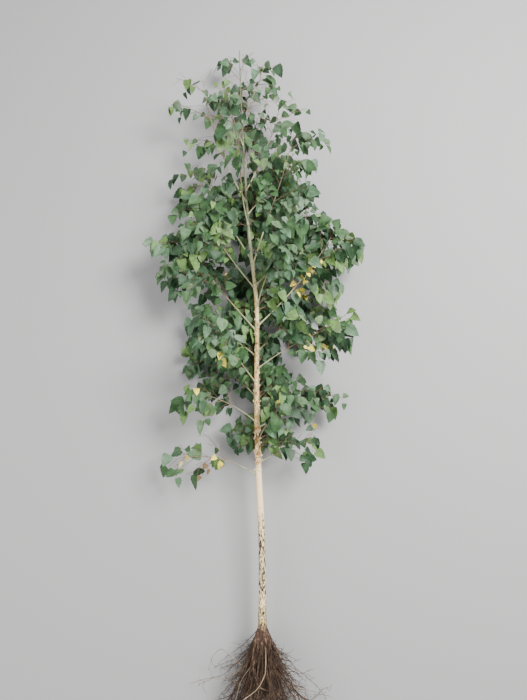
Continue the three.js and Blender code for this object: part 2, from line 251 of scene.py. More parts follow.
def smooth_curve(controls: Floats, count: int) -> Floats:
    """A curve through control points, as the source's trunk has.

    Every stretch is a cubic. Its slopes at both ends come from the neighbouring points, each
    weighed by the fourth root of the squared distance to it. The ends are mirrored for this.

    Args:
        controls: the points that the curve goes through.
        count: into how many equal parts of the parameter it is divided.

    Returns:
        count + 1 points.
    """
    mirrored = [2 * controls[:1] - controls[1:2], controls, 2 * controls[-1:] - controls[-2:-1]]
    p = np.concatenate(mirrored)
    gap = np.linalg.norm(np.diff(p, axis=0), axis=1, keepdims=True) ** 0.5
    a, b, c, d = p[:-3], p[1:-2], p[2:-1], p[3:]
    before, here, after = gap[:-2], gap[1:-1], gap[2:]
    slope = ((b - a) / before - (c - a) / (before + here) + (c - b) / here) * here
    end_slope = ((c - b) / here - (d - b) / (here + after) + (d - c) / after) * here
    t = np.linspace(0.0, len(b), count + 1)
    k = np.minimum(t.astype(int), len(b) - 1)
    t = (t - k)[:, None]
    cube = 2 * b - 2 * c + slope + end_slope
    square = -3 * b + 3 * c - 2 * slope - end_slope
    return b[k] + slope[k] * t + square[k] * t**2 + cube[k] * t**3


def smooth_curves(paths: Sequence[Floats], count: int) -> Floats:
    """A smooth curve for each path, in count parts: (paths, count + 1, 3)."""
    return np.stack([smooth_curve(np.asarray(path), count) for path in paths])


def taper(shares: Numbers, root: Numbers, tip: float, power: float = 1.0) -> Floats:
    """Radii that fall from one diameter to another by a power of what is left of the length."""
    return (tip + (root - tip) * np.clip(1.0 - shares, 0.0, 1.0) ** power) / 2


@dataclass(frozen=True)
class Walk:
    """How the source carries a limb from its start: in even steps that sway, sag and level out."""

    sway: float  # to both sides, in metres
    sag: float = 0.0  # at the tip
    steps: int = 40
    ground: Ground = Ground(0.007, 0.062)

    @property
    def middles(self) -> Floats:
        """The share of the limb at the middle of each step."""
        return np.arange(1, self.steps + 1) / self.steps - 0.5 / self.steps

    def line(self, start: Floats, ways: Floats, reach: float, around: float) -> Line:
        """The limb's centreline.

        A point is the start + the sum of the steps so far, each reach / steps long, + sway times
        sine(2 pi share) to the side - sag times share squared, levelled out above the ground.

        Args:
            start: where the limb starts.
            ways: the direction of each step.
            reach: the length of all steps.
            around: the limb's angle around the trunk, in degrees.

        Returns:
            The centreline.
        """
        share = np.arange(1, self.steps + 1)[:, None] / self.steps
        points = start + np.cumsum(ways, axis=0) * reach / self.steps
        points = points + across_from(around) * self.sway * np.sin(2 * np.pi * share)
        points = points - UP * self.sag * share**2
        return Line(np.concatenate([start[None], self.ground.under(points)]))


# Surfaces


@dataclass
class Surface:
    """A mesh as arrays: points, faces of four and three corners, and values held at the points."""

    points: Floats
    quads: Whole
    triangles: Whole
    values: dict[str, Floats] = field(default_factory=dict)
    quad_finish: Union[Whole, None] = None
    triangle_finish: Union[Whole, None] = None

    @staticmethod
    def joined(surfaces: Sequence["Surface"]) -> "Surface":
        """One surface of several.

        Args:
            surfaces: what is joined, each with the same named values.

        Returns:
            A surface whose faces count on through all points.
        """
        starts = np.cumsum([0] + [len(s.points) for s in surfaces[:-1]])
        names = surfaces[0].values
        return Surface(
            np.concatenate([s.points for s in surfaces]),
            np.concatenate([s.quads + start for s, start in zip(surfaces, starts)]),
            np.concatenate([s.triangles + start for s, start in zip(surfaces, starts)]),
            {name: np.concatenate([s.values[name] for s in surfaces]) for name in names},
        )


def tube_surface(rings: Floats, start: Floats, end: Floats) -> Surface:
    """Closed tubes from their rings, the first and last ring of each closed with a fan to a pole.

    A ring runs in the right-hand sense about the tube's way, so that every face points outwards.

    Args:
        rings: (tubes, rings, points in a ring, 3).
        start: (tubes, 3), the pole at the first ring.
        end: (tubes, 3), the pole at the last ring.

    Returns:
        One surface of all tubes.
    """
    number, count, sides, _ = rings.shape
    points = np.concatenate([rings.reshape(number, -1, 3), start[:, None], end[:, None]], axis=1)
    base = np.arange(number)[:, None, None] * (count * sides + 2)
    ring = np.arange(count - 1)[None, :, None] * sides
    here = np.arange(sides)[None, None, :]
    there = (here + 1) % sides
    corners = [base + ring + here, base + ring + there]
    corners += [corners[1] + sides, corners[0] + sides]
    quads = np.stack(np.broadcast_arrays(*corners), -1).reshape(-1, 4)
    pole = base + count * sides
    last = base + (count - 1) * sides
    closing = [
        np.stack(np.broadcast_arrays(pole, base + there, base + here), -1),
        np.stack(np.broadcast_arrays(pole + 1, last + here, last + there), -1),
    ]
    triangles = np.concatenate([c.reshape(-1, 3) for c in closing])
    return Surface(points.reshape(-1, 3), quads, triangles)


UPRIGHT = 0.8  # how steep a limb is whose rings are counted from the right and not from the top
ROOT_DOME = 0.4  # how far a limb's first pole stands out, as a share of its radius
TIP_DOME = 0.6  # and its last one


def tubes(paths: Floats, radii: Floats, sides: int) -> Surface:
    """Round limbs along paths.

    A ring's point is the path's point + radius times (cosine times the normal + sine times the
    binormal). The normal is the part, square to the path, of one vector square to the whole limb.

    Args:
        paths: (limbs, points, 3).
        radii: (limbs, points), or an array that is the same for all limbs.
        sides: how many points a ring has.

    Returns:
        One closed surface, with the value "share", from 0 at a limb's root to 1 at its tip.
    """
    radii = np.broadcast_to(radii, paths.shape[:2])
    tangent = unit(np.gradient(paths, axis=1))
    whole = unit(paths[:, -1] - paths[:, 0])
    away = np.where(np.abs(whole[:, 2:3]) > UPRIGHT, RIGHT, UP)
    normal, binormal = square_pair(tangent, square_to(whole, away)[:, None])
    angle = 2 * np.pi * np.arange(sides) / sides
    outward = turned(normal[:, :, None], binormal[:, :, None], angle)
    rings = paths[:, :, None] + radii[:, :, None, None] * outward
    start = paths[:, 0] - tangent[:, 0] * radii[:, :1] * ROOT_DOME
    end = paths[:, -1] + tangent[:, -1] * radii[:, -1:] * TIP_DOME
    surface = tube_surface(rings, start, end)
    share = np.repeat(np.linspace(0.0, 1.0, paths.shape[1]), sides)
    surface.values["share"] = np.tile(np.concatenate([share, [0.0, 1.0]]), len(paths))
    return surface


def thin_sheets(grid: Floats, thickness: float) -> Surface:
    """Closed thin sheets from grids of points.

    Each point is doubled, half the thickness to both sides along the cross product of the grid's
    two directions. A rim of faces joins both layers.

    Args:
        grid: (sheets, rows, columns, 3).
        thickness: of the sheets.

    Returns:
        One surface of all sheets.
    """
    sheets, rows, columns, _ = grid.shape
    normal = unit(np.cross(np.gradient(grid, axis=1), np.gradient(grid, axis=2)))
    layers = np.stack([grid + normal * thickness / 2, grid - normal * thickness / 2], axis=1)
    number = np.arange(rows * columns).reshape(rows, columns)
    upper = np.stack([number[:-1, :-1], number[1:, :-1], number[1:, 1:], number[:-1, 1:]], -1)
    upper = upper.reshape(-1, 4)
    edge = np.concatenate([number[:-1, 0], number[-1, :-1], number[:0:-1, -1], number[0, :0:-1]])
    onward = np.roll(edge, -1)
    under = rows * columns
    rim = np.stack([edge, edge + under, onward + under, onward], -1)
    quads = np.concatenate([upper, upper[:, ::-1] + under, rim])
    quads = quads[None] + (np.arange(sheets) * 2 * under)[:, None, None]
    return Surface(layers.reshape(-1, 3), quads.reshape(-1, 4), np.zeros((0, 3), np.int64))


def show(
    name: str,
    surface: Surface,
    finishes: Sequence[bpy.types.Material],
    nodes: Sequence[str] = (),
    sharp: float = 60.0,
) -> None:
    """Puts a surface into the scene as one piece of the tree, which rides on its one body.

    Args:
        name: the piece's name.
        surface: its mesh as arrays.
        finishes: its materials, in the order of the surface's finish numbers.
        nodes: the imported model's nodes that the piece stands for.
        sharp: edges that turn by more than this, in degrees, stay sharp.
    """
    mesh = bpy.data.meshes.new(name)
    quads, triangles = surface.quads, surface.triangles
    mesh.vertices.add(len(surface.points))
    mesh.vertices.foreach_set("co", surface.points.astype(np.float32).ravel())
    corners = np.concatenate([quads.ravel(), triangles.ravel()])
    mesh.loops.add(len(corners))
    mesh.loops.foreach_set("vertex_index", corners.astype(np.int32))
    starts = np.concatenate([np.arange(len(quads)) * 4, quads.size + np.arange(len(triangles)) * 3])
    mesh.polygons.add(len(starts))
    mesh.polygons.foreach_set("loop_start", starts.astype(np.int32))
    for finish in finishes:
        mesh.materials.append(finish)
    if surface.quad_finish is not None:
        number = np.concatenate([surface.quad_finish, surface.triangle_finish])
        mesh.polygons.foreach_set("material_index", number.astype(np.int32))
    for value, numbers in surface.values.items():
        held = mesh.attributes.new(value, "FLOAT", "POINT")
        held.data.foreach_set("value", numbers.astype(np.float32))
    mesh.update(calc_edges=True)
    mesh.validate()
    mesh.polygons.foreach_set("use_smooth", np.ones(len(starts), bool))
    mesh.set_sharp_from_angle(angle=float(np.radians(sharp)))
    piece = bpy.data.objects.new(name, mesh)
    bpy.context.scene.collection.objects.link(piece)
    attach(piece, "root")
    if nodes:
        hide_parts(*nodes)
    log.info("%s: %d triangles", name, 2 * len(quads) + len(triangles))


# Finishes


class Shader:
    """Builds one material's nodes. Each method that makes a pattern gives the socket it ends in."""

    FIRST_COLOUR, SECOND_COLOUR, MIXED_COLOUR = 6, 7, 2  # the Mix node's colour sockets

    def __init__(self, name: str) -> None:
        """Starts a material of this name with one shader, joined to its output."""
        self.material = bpy.data.materials.new(name)
        self.material.use_nodes = True
        self.tree = self.material.node_tree
        self.tree.nodes.clear()
        self.surface = self.node("BsdfPrincipled")
        self.node("OutputMaterial", Surface=self.surface.outputs["BSDF"])
        self.place = self.node("TexCoord").outputs["Object"]

    def node(self, kind: str, **settings: Union[Value, str]) -> bpy.types.Node:
        """Adds a node.

        Args:
            kind: the node's type, without the word that all of them start with.
            settings: its inputs, each with a capital and a low line for a space, and the rest.

        Returns:
            The new node.
        """
        node = self.tree.nodes.new(f"ShaderNode{kind}")
        for name, value in settings.items():
            if name[0].isupper():
                self.feed(node.inputs[name.replace("_", " ")], value)
            else:
                setattr(node, name, value)
        return node

    def feed(self, socket: Socket, value: Value) -> None:
        """Links a socket to a value, or sets it where that is a plain number or colour."""
        if isinstance(value, Socket):
            self.tree.links.new(value, socket)
        elif isinstance(value, tuple) and socket.type == "RGBA":
            socket.default_value = (*value, 1.0)
        else:
            socket.default_value = value

    def grain(self, cells: Colour, detail: float = 2.0, roughness: float = 0.5) -> Socket:
        """Noise on the piece's own coordinates, from 0 to 1.

        Args:
            cells: how many cells a metre has along each axis.
            detail: how many finer layers are added.
            roughness: how strong they are.

        Returns:
            The noise.
        """
        place = self.node("Mapping", Vector=self.place, Scale=cells).outputs["Vector"]
        noise = self.node("TexNoise", Vector=place, Scale=1.0, Detail=detail, Roughness=roughness)
        return noise.outputs["Fac"]

    def held(self, name: str) -> Socket:
        """A value that the mesh holds at its points."""
        return self.node("Attribute", attribute_name=name).outputs["Fac"]

    def height(self) -> Socket:
        """The coordinate along the tree, in metres."""
        return self.node("SeparateXYZ", Vector=self.place).outputs["Y"]

    def between(self, value: Socket, low: float, high: float) -> Socket:
        """0 at low, 1 at high, and a smooth rise between them.

        Args:
            value: what is compared.
            low: where the rise starts.
            high: where it ends. It may lie below low.

        Returns:
            The share.
        """
        first, last = (1.0, 0.0) if low > high else (0.0, 1.0)
        low, high = min(low, high), max(low, high)
        span = {"From_Min": low, "From_Max": high, "To_Min": first, "To_Max": last}
        node = self.node("MapRange", interpolation_type="SMOOTHSTEP", Value=value, **span)
        return node.outputs["Result"]

    def within(self, value: Socket, band: Band) -> Socket:
        """1 inside a band of a value, with a smooth rise and a smooth fall at its edges."""
        return self.product(self.between(value, *band[:2]), self.between(value, band[3], band[2]))

    def maths(self, operation: str, *values: Value) -> Socket:
        """Values joined one after another by an operation of the Math node.

        Args:
            operation: the Math node's name for it.
            values: two or more.

        Returns:
            The result.
        """
        result = values[0]
        for value in values[1:]:
            node = self.node("Math", operation=operation)
            self.feed(node.inputs[0], result)
            self.feed(node.inputs[1], value)
            result = node.outputs[0]
        return result

    def product(self, *values: Value) -> Socket:
        """Values multiplied."""
        return self.maths("MULTIPLY", *values)

    def total(self, *values: Value) -> Socket:
        """Values added."""
        return self.maths("ADD", *values)

    def greatest(self, *values: Value) -> Socket:
        """The greatest of some values."""
        return self.maths("MAXIMUM", *values)

    def blend(self, share: Socket, first: Value, second: Value) -> Socket:
        """A colour between two others.

        Args:
            share: from 0 to 1.
            first: the colour at 0.
            second: the colour at 1.

        Returns:
            The colour.
        """
        node = self.node("Mix", data_type="RGBA", Factor=share)
        self.feed(node.inputs[self.FIRST_COLOUR], first)
        self.feed(node.inputs[self.SECOND_COLOUR], second)
        return node.outputs[self.MIXED_COLOUR]

    def stops(self, value: Socket, stops: Sequence[tuple[float, Colour]]) -> Socket:
        """A colour picked by a value, and blended between stops.

        Args:
            value: from 0 to 1.
            stops: the values that have a colour of their own.

        Returns:
            The colour.
        """
        node = self.node("ValToRGB", Fac=value)
        made = node.color_ramp.elements
        while len(made) < len(stops):
            made.new(0.5)
        for stop, (position, colour) in zip(made, stops):
            stop.position = position
            stop.color = (*colour, 1.0)
        return node.outputs["Color"]

    def relief(self, height: Socket, distance: float, strength: float = 1.0) -> None:
        """Makes a pattern stand out by a distance in metres, of which a share is seen."""
        bump = self.node("Bump", Height=height, Distance=distance, Strength=strength)
        self.feed(self.surface.inputs["Normal"], bump.outputs["Normal"])

    def finish(self, colour: Value, roughness: Value, shine: float) -> bpy.types.Material:
        """Sets the colour, the roughness and the strength of the shine, and gives the material.

        Args:
            colour: the base colour.
            roughness: from 0, polished, to 1.
            shine: the shader's specular level.

        Returns:
            The finished material.
        """
        self.feed(self.surface.inputs["Base Color"], colour)
        self.feed(self.surface.inputs["Roughness"], roughness)
        self.surface.inputs["Specular IOR Level"].default_value = shine
        return self.material


@dataclass(frozen=True)
class TrunkBark:
    """White papery bark with black flecks and rusty patches, tan above and stained at the foot. The tan
    and the young bark at the top are also darker and greener, as painted shade from the leaves.
    """

    foot: float  # the collar's place along the tree
    length: float  # of the trunk
    ragged: Colour = (0.58, 0.42, 0.17)
    cream: Colour = (0.95, 0.73, 0.32)
    chalk: Colour = (0.97, 0.76, 0.42)
    rust: Colour = (0.45, 0.205, 0.05)
    blush: Colour = (0.91, 0.78, 0.37)
    brown_streaks: Colour = (0.38, 0.27, 0.12)
    # tan and young: the upper bark's own colour, made darker and greener as painted shade from the
    # leaves over it
    tan: Colour = (0.47, 0.49, 0.28)
    young: Colour = (0.16, 0.178, 0.095)
    black: Colour = (0.020, 0.017, 0.015)
    grey: Colour = (0.050, 0.042, 0.036)
    pore: Colour = (0.13, 0.06, 0.03)

    def material(self) -> bpy.types.Material:
        """Builds the bark: the ground colour up the trunk, then each stain over the last.

        Returns:
            The finished material.
        """
        s = Shader("trunk_bark")
        wander = s.product(s.maths("SUBTRACT", s.grain((30, 14, 30)), 0.5), 0.22)
        height = s.maths("SUBTRACT", s.height(), self.foot)
        share = s.maths("DIVIDE", s.total(height, wander), self.length)
        # the last two stops, tan and young, hold painted shade from the crown as well as the bark's own
        # colour
        stops = [
            (0.0, self.ragged), (0.028, self.cream), (0.05, self.chalk), (0.25, self.chalk),
            (0.33, self.cream), (0.48, self.blush), (0.56, self.tan), (0.65, self.young),
        ]
        colour = s.stops(share, stops)
        paper = s.between(s.grain((24, 120, 24), 3.0), 0.5, 0.68)
        pale = s.product(paper, s.between(share, 0.5, 0.2))
        colour = s.blend(s.product(pale, 0.6), colour, self.chalk)
        # upright brown streaks, at random round the trunk in its middle band
        brown_streaks = s.between(s.grain((150, 22, 150), 3.0, 0.6), 0.49, 0.60)
        brown_streaks = s.product(brown_streaks, s.within(share, (0.28, 0.38, 0.50, 0.62)))
        colour = s.blend(s.product(brown_streaks, 0.68), colour, self.brown_streaks)
        colour = s.blend(self.rusty(s, share), colour, self.rust)
        pores = s.between(s.grain((70, 900, 70), 1.0), 0.64, 0.70)
        pores = s.product(pores, s.between(share, 0.14, 0.3))
        colour = s.blend(s.product(pores, 0.75), colour, self.pore)
        dashes = s.grain((560, 90, 560), 2.0, 0.65)
        dashes = s.total(dashes, s.product(s.held("flecked"), 0.225))
        dashes = s.between(dashes, 0.70, 0.74)
        colour = s.blend(s.product(dashes, 0.9), colour, self.grey)
        colour = s.blend(s.held("scar"), colour, self.pore)
        fleck = s.product(s.held("fleck"), s.between(s.grain((420, 140, 420)), 0.22, 0.4))
        colour = s.blend(fleck, colour, self.black)
        torn = s.total(height, s.product(s.grain((190, 60, 190), 2.0), -0.062))
        stained, _ = CROWN_BARK.pattern(s)
        colour = s.blend(s.between(torn, -0.018, -0.023), colour, stained)
        fine = s.total(s.grain((500, 700, 500), 3.0), s.product(pores, 0.6))
        dark = s.total(fleck, s.product(dashes, 0.6))
        s.relief(s.maths("SUBTRACT", fine, dark), 0.0006)
        roughness = s.total(s.product(paper, -0.12), 0.72)
        return s.finish(colour, roughness, 0.35)

    def rusty(self, s: Shader, share: Socket) -> Socket:
        """Where the bark is rusty: thin streaks, patches in two bands, and spots in the upper one.

        Args:
            s: the bark's shader.
            share: of the trunk's length.

        Returns:
            The strength of the rust.
        """
        streak = s.between(s.grain((34, 420, 34), 2.0), 0.52, 0.7)
        streaks = s.product(streak, s.within(share, (0.2, 0.3, 0.48, 0.62)), 0.5)
        patch = s.between(s.grain((75, 45, 75), 3.0, 0.6), 0.47, 0.55)
        low = s.within(share, (0.235, 0.255, 0.285, 0.305))
        high = s.within(share, (0.285, 0.32, 0.46, 0.58))
        spot = s.between(s.grain((150, 75, 150), 2.0, 0.6), 0.53, 0.58)
        spots = s.product(spot, high, 0.85)
        patches = s.product(patch, s.greatest(low, s.product(high, 0.6)))
        return s.greatest(streaks, spots, patches)


@dataclass(frozen=True)
class PaperBark:
    """Loose curls of bark, chalky outside and warm within."""

    outside: Colour = (0.80, 0.66, 0.46)
    within: Colour = (0.50, 0.24, 0.09)

    def material(self) -> bpy.types.Material:
        """Builds the curls' bark, mottled between both colours.

        Returns:
            The finished material.
        """
        s = Shader("paper_bark")
        mottle = s.between(s.grain((180, 260, 180), 3.0), 0.45, 0.7)
        s.relief(s.grain((700, 900, 700), 2.0), 0.0003)
        return s.finish(s.blend(mottle, self.outside, self.within), 0.7, 0.3)


@dataclass(frozen=True)
class LimbBark:
    """Smooth bark of boughs and twigs, darker towards the tips, with small pale warts."""

    name: str
    old: Colour
    young: Colour
    wart: Colour
    roughness: float = 0.5

    def material(self) -> bpy.types.Material:
        """Builds the bark from the share along each limb.

        Returns:
            The finished material.
        """
        s = Shader(self.name)
        age = s.between(s.total(s.held("share"), s.grain((40, 40, 40))), 0.45, 1.1)
        blotch = s.between(s.grain((150, 60, 150), 3.0), 0.48, 0.66)
        colour = s.blend(s.product(blotch, 0.5), self.old, self.young)
        colour = s.blend(age, colour, self.young)
        warts = s.between(s.grain((620, 620, 620), 1.0), 0.64, 0.70)
        colour = s.blend(s.product(warts, 0.8), colour, self.wart)
        rings = s.grain((90, 500, 90), 2.0)
        s.relief(s.total(s.product(rings, 0.5), warts), 0.0004)
        return s.finish(colour, self.roughness, 0.4)


@dataclass(frozen=True)
class LeafFinish:
    """A leaf's two faces: the upper one darker and smoother, the lower one pale and dull."""

    name: str
    upper: Colour
    under: Colour
    share: float  # of the sprays that have it
    highest: float = 1.0  # the share of the tree's height that it is found below
    largest: float = 1.0  # the length of the longest leaf that has it
    veins: float = 7.0  # on each side of the midrib
    slant: float = 0.2  # how far a vein runs to the tip on its way to the margin

    def materials(self) -> list[bpy.types.Material]:
        """The materials of the upper and the lower face."""
        return [self.face("upper", self.upper, 0.5, 0.3), self.face("under", self.under, 0.7, 0.2)]

    def face(self, side: str, colour: Colour, dull: float, shine: float) -> bpy.types.Material:
        """Builds one face: slightly mottled, with a paler midrib and veins that slant to the tip.

        The veins lie where veins times (share along - slant times share across) is near a whole
        number.

        Args:
            side: which face it is.
            colour: between the veins.
            dull: its roughness.
            shine: the strength of its shine.

        Returns:
            The finished material.
        """
        s = Shader(f"{self.name}_{side}")
        mottle = s.between(s.grain((60, 60, 60), 3.0), 0.35, 0.65)
        across = s.held("across")
        slanted = s.total(s.held("along"), s.product(across, -self.slant))
        off_vein = s.maths("PINGPONG", s.product(slanted, self.veins), 0.5)
        veins = s.between(off_vein, 0.075, 0.015)
        rib = s.between(across, 0.07, 0.015)
        veins = s.greatest(rib, s.product(veins, 0.6))
        shade = tuple(0.8 * part for part in colour)
        lit, pale = (
            tuple(min(1.0, factor * part + added) for part in colour)
            for factor, added in ((1.18, 0.004), (1.4, 0.018))
        )
        s.relief(veins, 0.0005, 0.6)
        surface = s.blend(mottle, shade, lit)
        return s.finish(s.blend(s.product(veins, 0.75), surface, pale), dull, shine)


class Tint(Enum):
    """The leaves' colours, which are dealt out by spray. The deep one is partly a darker green and
    partly painted shade.
    """

    # a darker green, made darker still as painted shade for the depth of the crown, dealt at random like
    # the rest
    DEEP = LeafFinish("leaf_deep", (0.018, 0.053, 0.018), (0.070, 0.120, 0.062), 0.27)
    MID = LeafFinish("leaf_mid", (0.043, 0.102, 0.034), (0.095, 0.156, 0.078), 0.31)
    PALE = LeafFinish("leaf_pale", (0.074, 0.147, 0.075), (0.130, 0.196, 0.124), 0.20)
    FRESH = LeafFinish("leaf_fresh", (0.108, 0.200, 0.054), (0.160, 0.240, 0.102), 0.16)
    YELLOW = LeafFinish("leaf_yellow", (0.80, 0.66, 0.085), (0.74, 0.63, 0.17), 0.030, 0.58, 0.037)
    BROWN = LeafFinish("leaf_brown", (0.180, 0.115, 0.050), (0.230, 0.165, 0.090), 0.03, 0.32, 0.045)


@dataclass(frozen=True)
class StalkFinish:
    """Leaf stalks, green with a touch of red."""

    green: Colour = (0.16, 0.20, 0.06)
    red: Colour = (0.24, 0.10, 0.06)

    def material(self) -> bpy.types.Material:
        """Builds the stalks' finish, redder in places.

        Returns:
            The finished material.
        """
        s = Shader("leaf_stalk")
        flush = s.between(s.grain((90, 90, 90)), 0.45, 0.65)
        s.relief(s.grain((900, 900, 900)), 0.0001)
        return s.finish(s.blend(flush, self.green, self.red), 0.5, 0.4)


@dataclass(frozen=True)
class RootBark:
    """Damp dark bark of the roots, browner where it is rubbed."""

    name: str
    dark: Colour
    rubbed: Colour
    cells: float  # of the pattern in a metre
    depth: float  # of its relief

    def pattern(self, s: Shader) -> tuple[Socket, Socket]:
        """The bark's colour and the height of its relief.

        Args:
            s: the shader that they are made in.

        Returns:
            Both.
        """
        rub = s.between(s.grain((self.cells, self.cells / 2, self.cells), 3.0), 0.42, 0.68)
        fibre = s.grain((self.cells * 4, self.cells, self.cells * 4), 3.0)
        shade = s.product(rub, s.between(fibre, 0.3, 0.6))
        return s.blend(shade, self.dark, self.rubbed), s.total(fibre, rub)

    def material(self) -> bpy.types.Material:
        """Builds the root bark.

        Returns:
            The finished material.
        """
        s = Shader(self.name)
        colour, height = self.pattern(s)
        s.relief(height, self.depth)
        return s.finish(colour, 0.85, 0.25)


CROWN_BARK = RootBark("root_bark", (0.058, 0.032, 0.021), (0.27, 0.165, 0.105), 90, 0.0012)


# The trunk


@dataclass
class Trunk:
    """The trunk from the root collar to the leader's tip, with its bark in relief.

    Heights are above the collar, along the trunk.
    """

    sideways: tuple[float, ...] = (0, -0.002, -0.017, -0.023, -0.024, -0.056, -0.076, -0.094, -0.106)
    heights: tuple[float, ...] = (0, 0.305, 0.61, 0.915, 1.22, 1.525, 1.83, 2.135, 2.437)
    off_ground: tuple[float, ...] = (0.108, 0.122, 0.141, 0.159, 0.171, 0.174, 0.163, 0.143, 0.118)
    curve_steps: int = 64
    diameter: float = 0.0295
    tip_diameter: float = 0.0032
    power: float = 1.07
    flare: float = 0.0075
    flare_length: float = 0.038
    end: float = 0.87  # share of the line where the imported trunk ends
    solid_sides: int = 12
    solid_steps: int = 20
    crowding: float = 1.35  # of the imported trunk's rings towards the foot
    rings: int = 1180
    sides: int = 72
    ring_crowding: float = 1.2
    full_relief: float = 0.015  # the radius from which the swells have their full height
    least_relief: float = 0.15  # share of it at the tip
    crack_depth: float = 0.0007  # of a black fleck
    pole_lengths: Span = (-0.001, 0.0016)  # how far the poles stand out at the foot and the tip
    flutes: int = 5  # ridges of the foot, which run down into the roots
    flute_height: float = 0.0014
    flute_turn: float = 0.9  # in radians, as the root crown counts them
    flute_reach: float = 0.035
    knots: int = 26
    knot_reach: Span = (0.05, 1.35)  # heights between which the knots lie
    knot_size: Span = (0.002, 0.0042)
    bows_to: float = 0.004  # the trunk's radius where the dark bows above boughs end

    @cached_property
    def grown(self) -> Line:
        """The centreline where the source grows it, before the tree is moved to its place."""
        controls = np.stack([self.sideways, self.heights, self.off_ground], -1).astype(float)
        return Line(smooth_curve(controls, self.curve_steps))

    @cached_property
    def shift(self) -> Floats:
        """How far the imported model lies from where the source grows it.

        The trunk's rings are worked out as in the source, and the lowest corner of their box is
        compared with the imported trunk's.

        Returns:
            The shift along each axis.
        """
        share = self.end * (np.arange(self.solid_steps + 1) / self.solid_steps) ** self.crowding
        upper, right = square_pair(self.grown.direction(share), UP)
        angle = np.pi / 2 + 2 * np.pi * np.arange(self.solid_sides)[:, None] / self.solid_sides
        outward = turned(-right, upper, angle)
        rings = self.grown.at(share) + outward * self.radius(share)[:, None]
        return np.array(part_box("trunk")[0]) - rings.reshape(-1, 3).min(0)

    @cached_property
    def line(self) -> Line:
        """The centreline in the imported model's frame."""
        return self.grown.moved(self.shift)

    @property
    def collar(self) -> Floats:
        """The middle of the trunk's foot."""
        return self.line.points[0]

    def radius(self, share: Numbers) -> Floats:
        """The radius at shares of the line: a taper, and a flare that fades out above the collar."""
        flare = self.flare / 2 * np.exp(-share * self.grown.length / self.flare_length)
        return taper(share, self.diameter, self.tip_diameter, self.power) + flare

    def flute(self, angle: Floats, turn: float) -> Floats:
        """The ridges round the foot: their height times the cosine of (flutes times angle + turn)."""
        return self.flute_height * np.cos(self.flutes * angle + turn)

    def beside(self, points: Floats) -> tuple[Floats, Floats, Floats]:
        """Where points lie beside the trunk.

        Args:
            points: an array of points, in the last axis.

        Returns:
            For each, its height, and how far it lies to the right of the centreline and above it.
        """
        p = self.line.points
        off = [points[..., k] - np.interp(points[..., 1], p[:, 1], p[:, k]) for k in (0, 2)]
        return points[..., 1] - self.collar[1], off[0], off[1]

    def surface(self, boughs: "Boughs") -> Surface:
        """The trunk with its relief.

        A point is the centreline's point + (radius + relief) times a unit vector at an angle around
        it. The relief has slow swells, flutes that fade out above the foot, the boughs' collars,
        knots, and the flecks' cracks.

        Args:
            boughs: whose collars swell the trunk.

        Returns:
            A closed surface with the values "flecked", "fleck" and "scar" at its points.
        """
        share = (np.arange(self.rings + 1) / self.rings) ** self.ring_crowding
        tangent = self.line.direction(share, 0.004)
        first, second = square_pair(tangent, RIGHT)
        angle = 2 * np.pi * np.arange(self.sides) / self.sides
        outward = turned(first[:, None], second[:, None], angle)
        radius = self.radius(share)[:, None]
        height = (share * self.line.length)[:, None]
        skin = self.line.at(share)[:, None] + outward * radius[..., None]
        raised = np.clip(radius / self.full_relief, self.least_relief, 1.0) * self.swells(skin)
        raised += self.flute(angle, -self.flute_turn) * np.exp(-height / self.flute_reach)
        flecked = self.flecked(skin, height)
        fleck = self.flecks(skin, flecked) * ramped(height, 0.003, 0.012)
        raised -= self.crack_depth * fleck
        swell, scar = self.junctions(height, -angle, radius, boughs)
        rings = skin + outward * (raised + swell)[..., None]
        poles = self.line.points[[0, -1]] + tangent[[0, -1]] * np.array(self.pole_lengths)[:, None]
        surface = tube_surface(rings[None], poles[:1], poles[1:])
        for name, values in (("flecked", flecked), ("fleck", fleck), ("scar", scar)):
            surface.values[name] = np.concatenate([values.ravel(), np.zeros(len(poles))])
        return surface

    def swells(self, skin: Floats) -> Floats:
        """The slow swells of the bark: long ones, and short ones of about half their height."""
        long, short = relief(skin, (0.016, 0.09, 0.016), 1), relief(skin, (0.005, 0.014, 0.005), 2)
        return 0.0009 * long + 0.0005 * short

    def flecked(self, skin: Floats, height: Floats) -> Floats:
        """How thick the black flecks lie: dense at the foot and in the rusty band, in clumps.

        Args:
            skin: the points of the bark.
            height: of each ring.

        Returns:
            A share for each point.
        """
        near_foot = 1.0 - ramped(height, 0.37, 0.445)
        rusty = 0.6 * banded(height, (0.57, 0.62, 0.69, 0.75))
        above = 0.3 * banded(height, (0.6, 0.7, 1.2, 1.6))
        clump = 0.65 + 0.45 * noise(skin, (0.02, 0.05, 0.02), 5)
        return np.clip((near_foot + rusty + above + 0.04) * clump, 0.0, 1.0)

    def flecks(self, skin: Floats, flecked: Floats) -> Floats:
        """Where the larger flecks are: short upright cracks with a ragged edge.

        Their noise is read at points pushed about by finer noise, which hides its lattice.

        Args:
            skin: the points of the bark.
            flecked: how thick the flecks lie at each.

        Returns:
            How deep in a fleck each point is, from 0 to 1.
        """
        push = [relief(skin, (0.003, 0.006, 0.003), seed) for seed in (51, 52, 53)]
        bent = skin + np.stack(push, -1) * np.array([0.004, 0.014, 0.004])
        grain = noise(bent, (0.0036, 0.0110, 0.0036), 3)
        grain += 0.35 * noise(bent, (0.002, 0.006, 0.002), 4)
        limit = 1.13 - 0.34 * flecked
        return ramped(grain, limit - 0.04, limit + 0.05) * ramped(flecked, 0.02, 0.15)

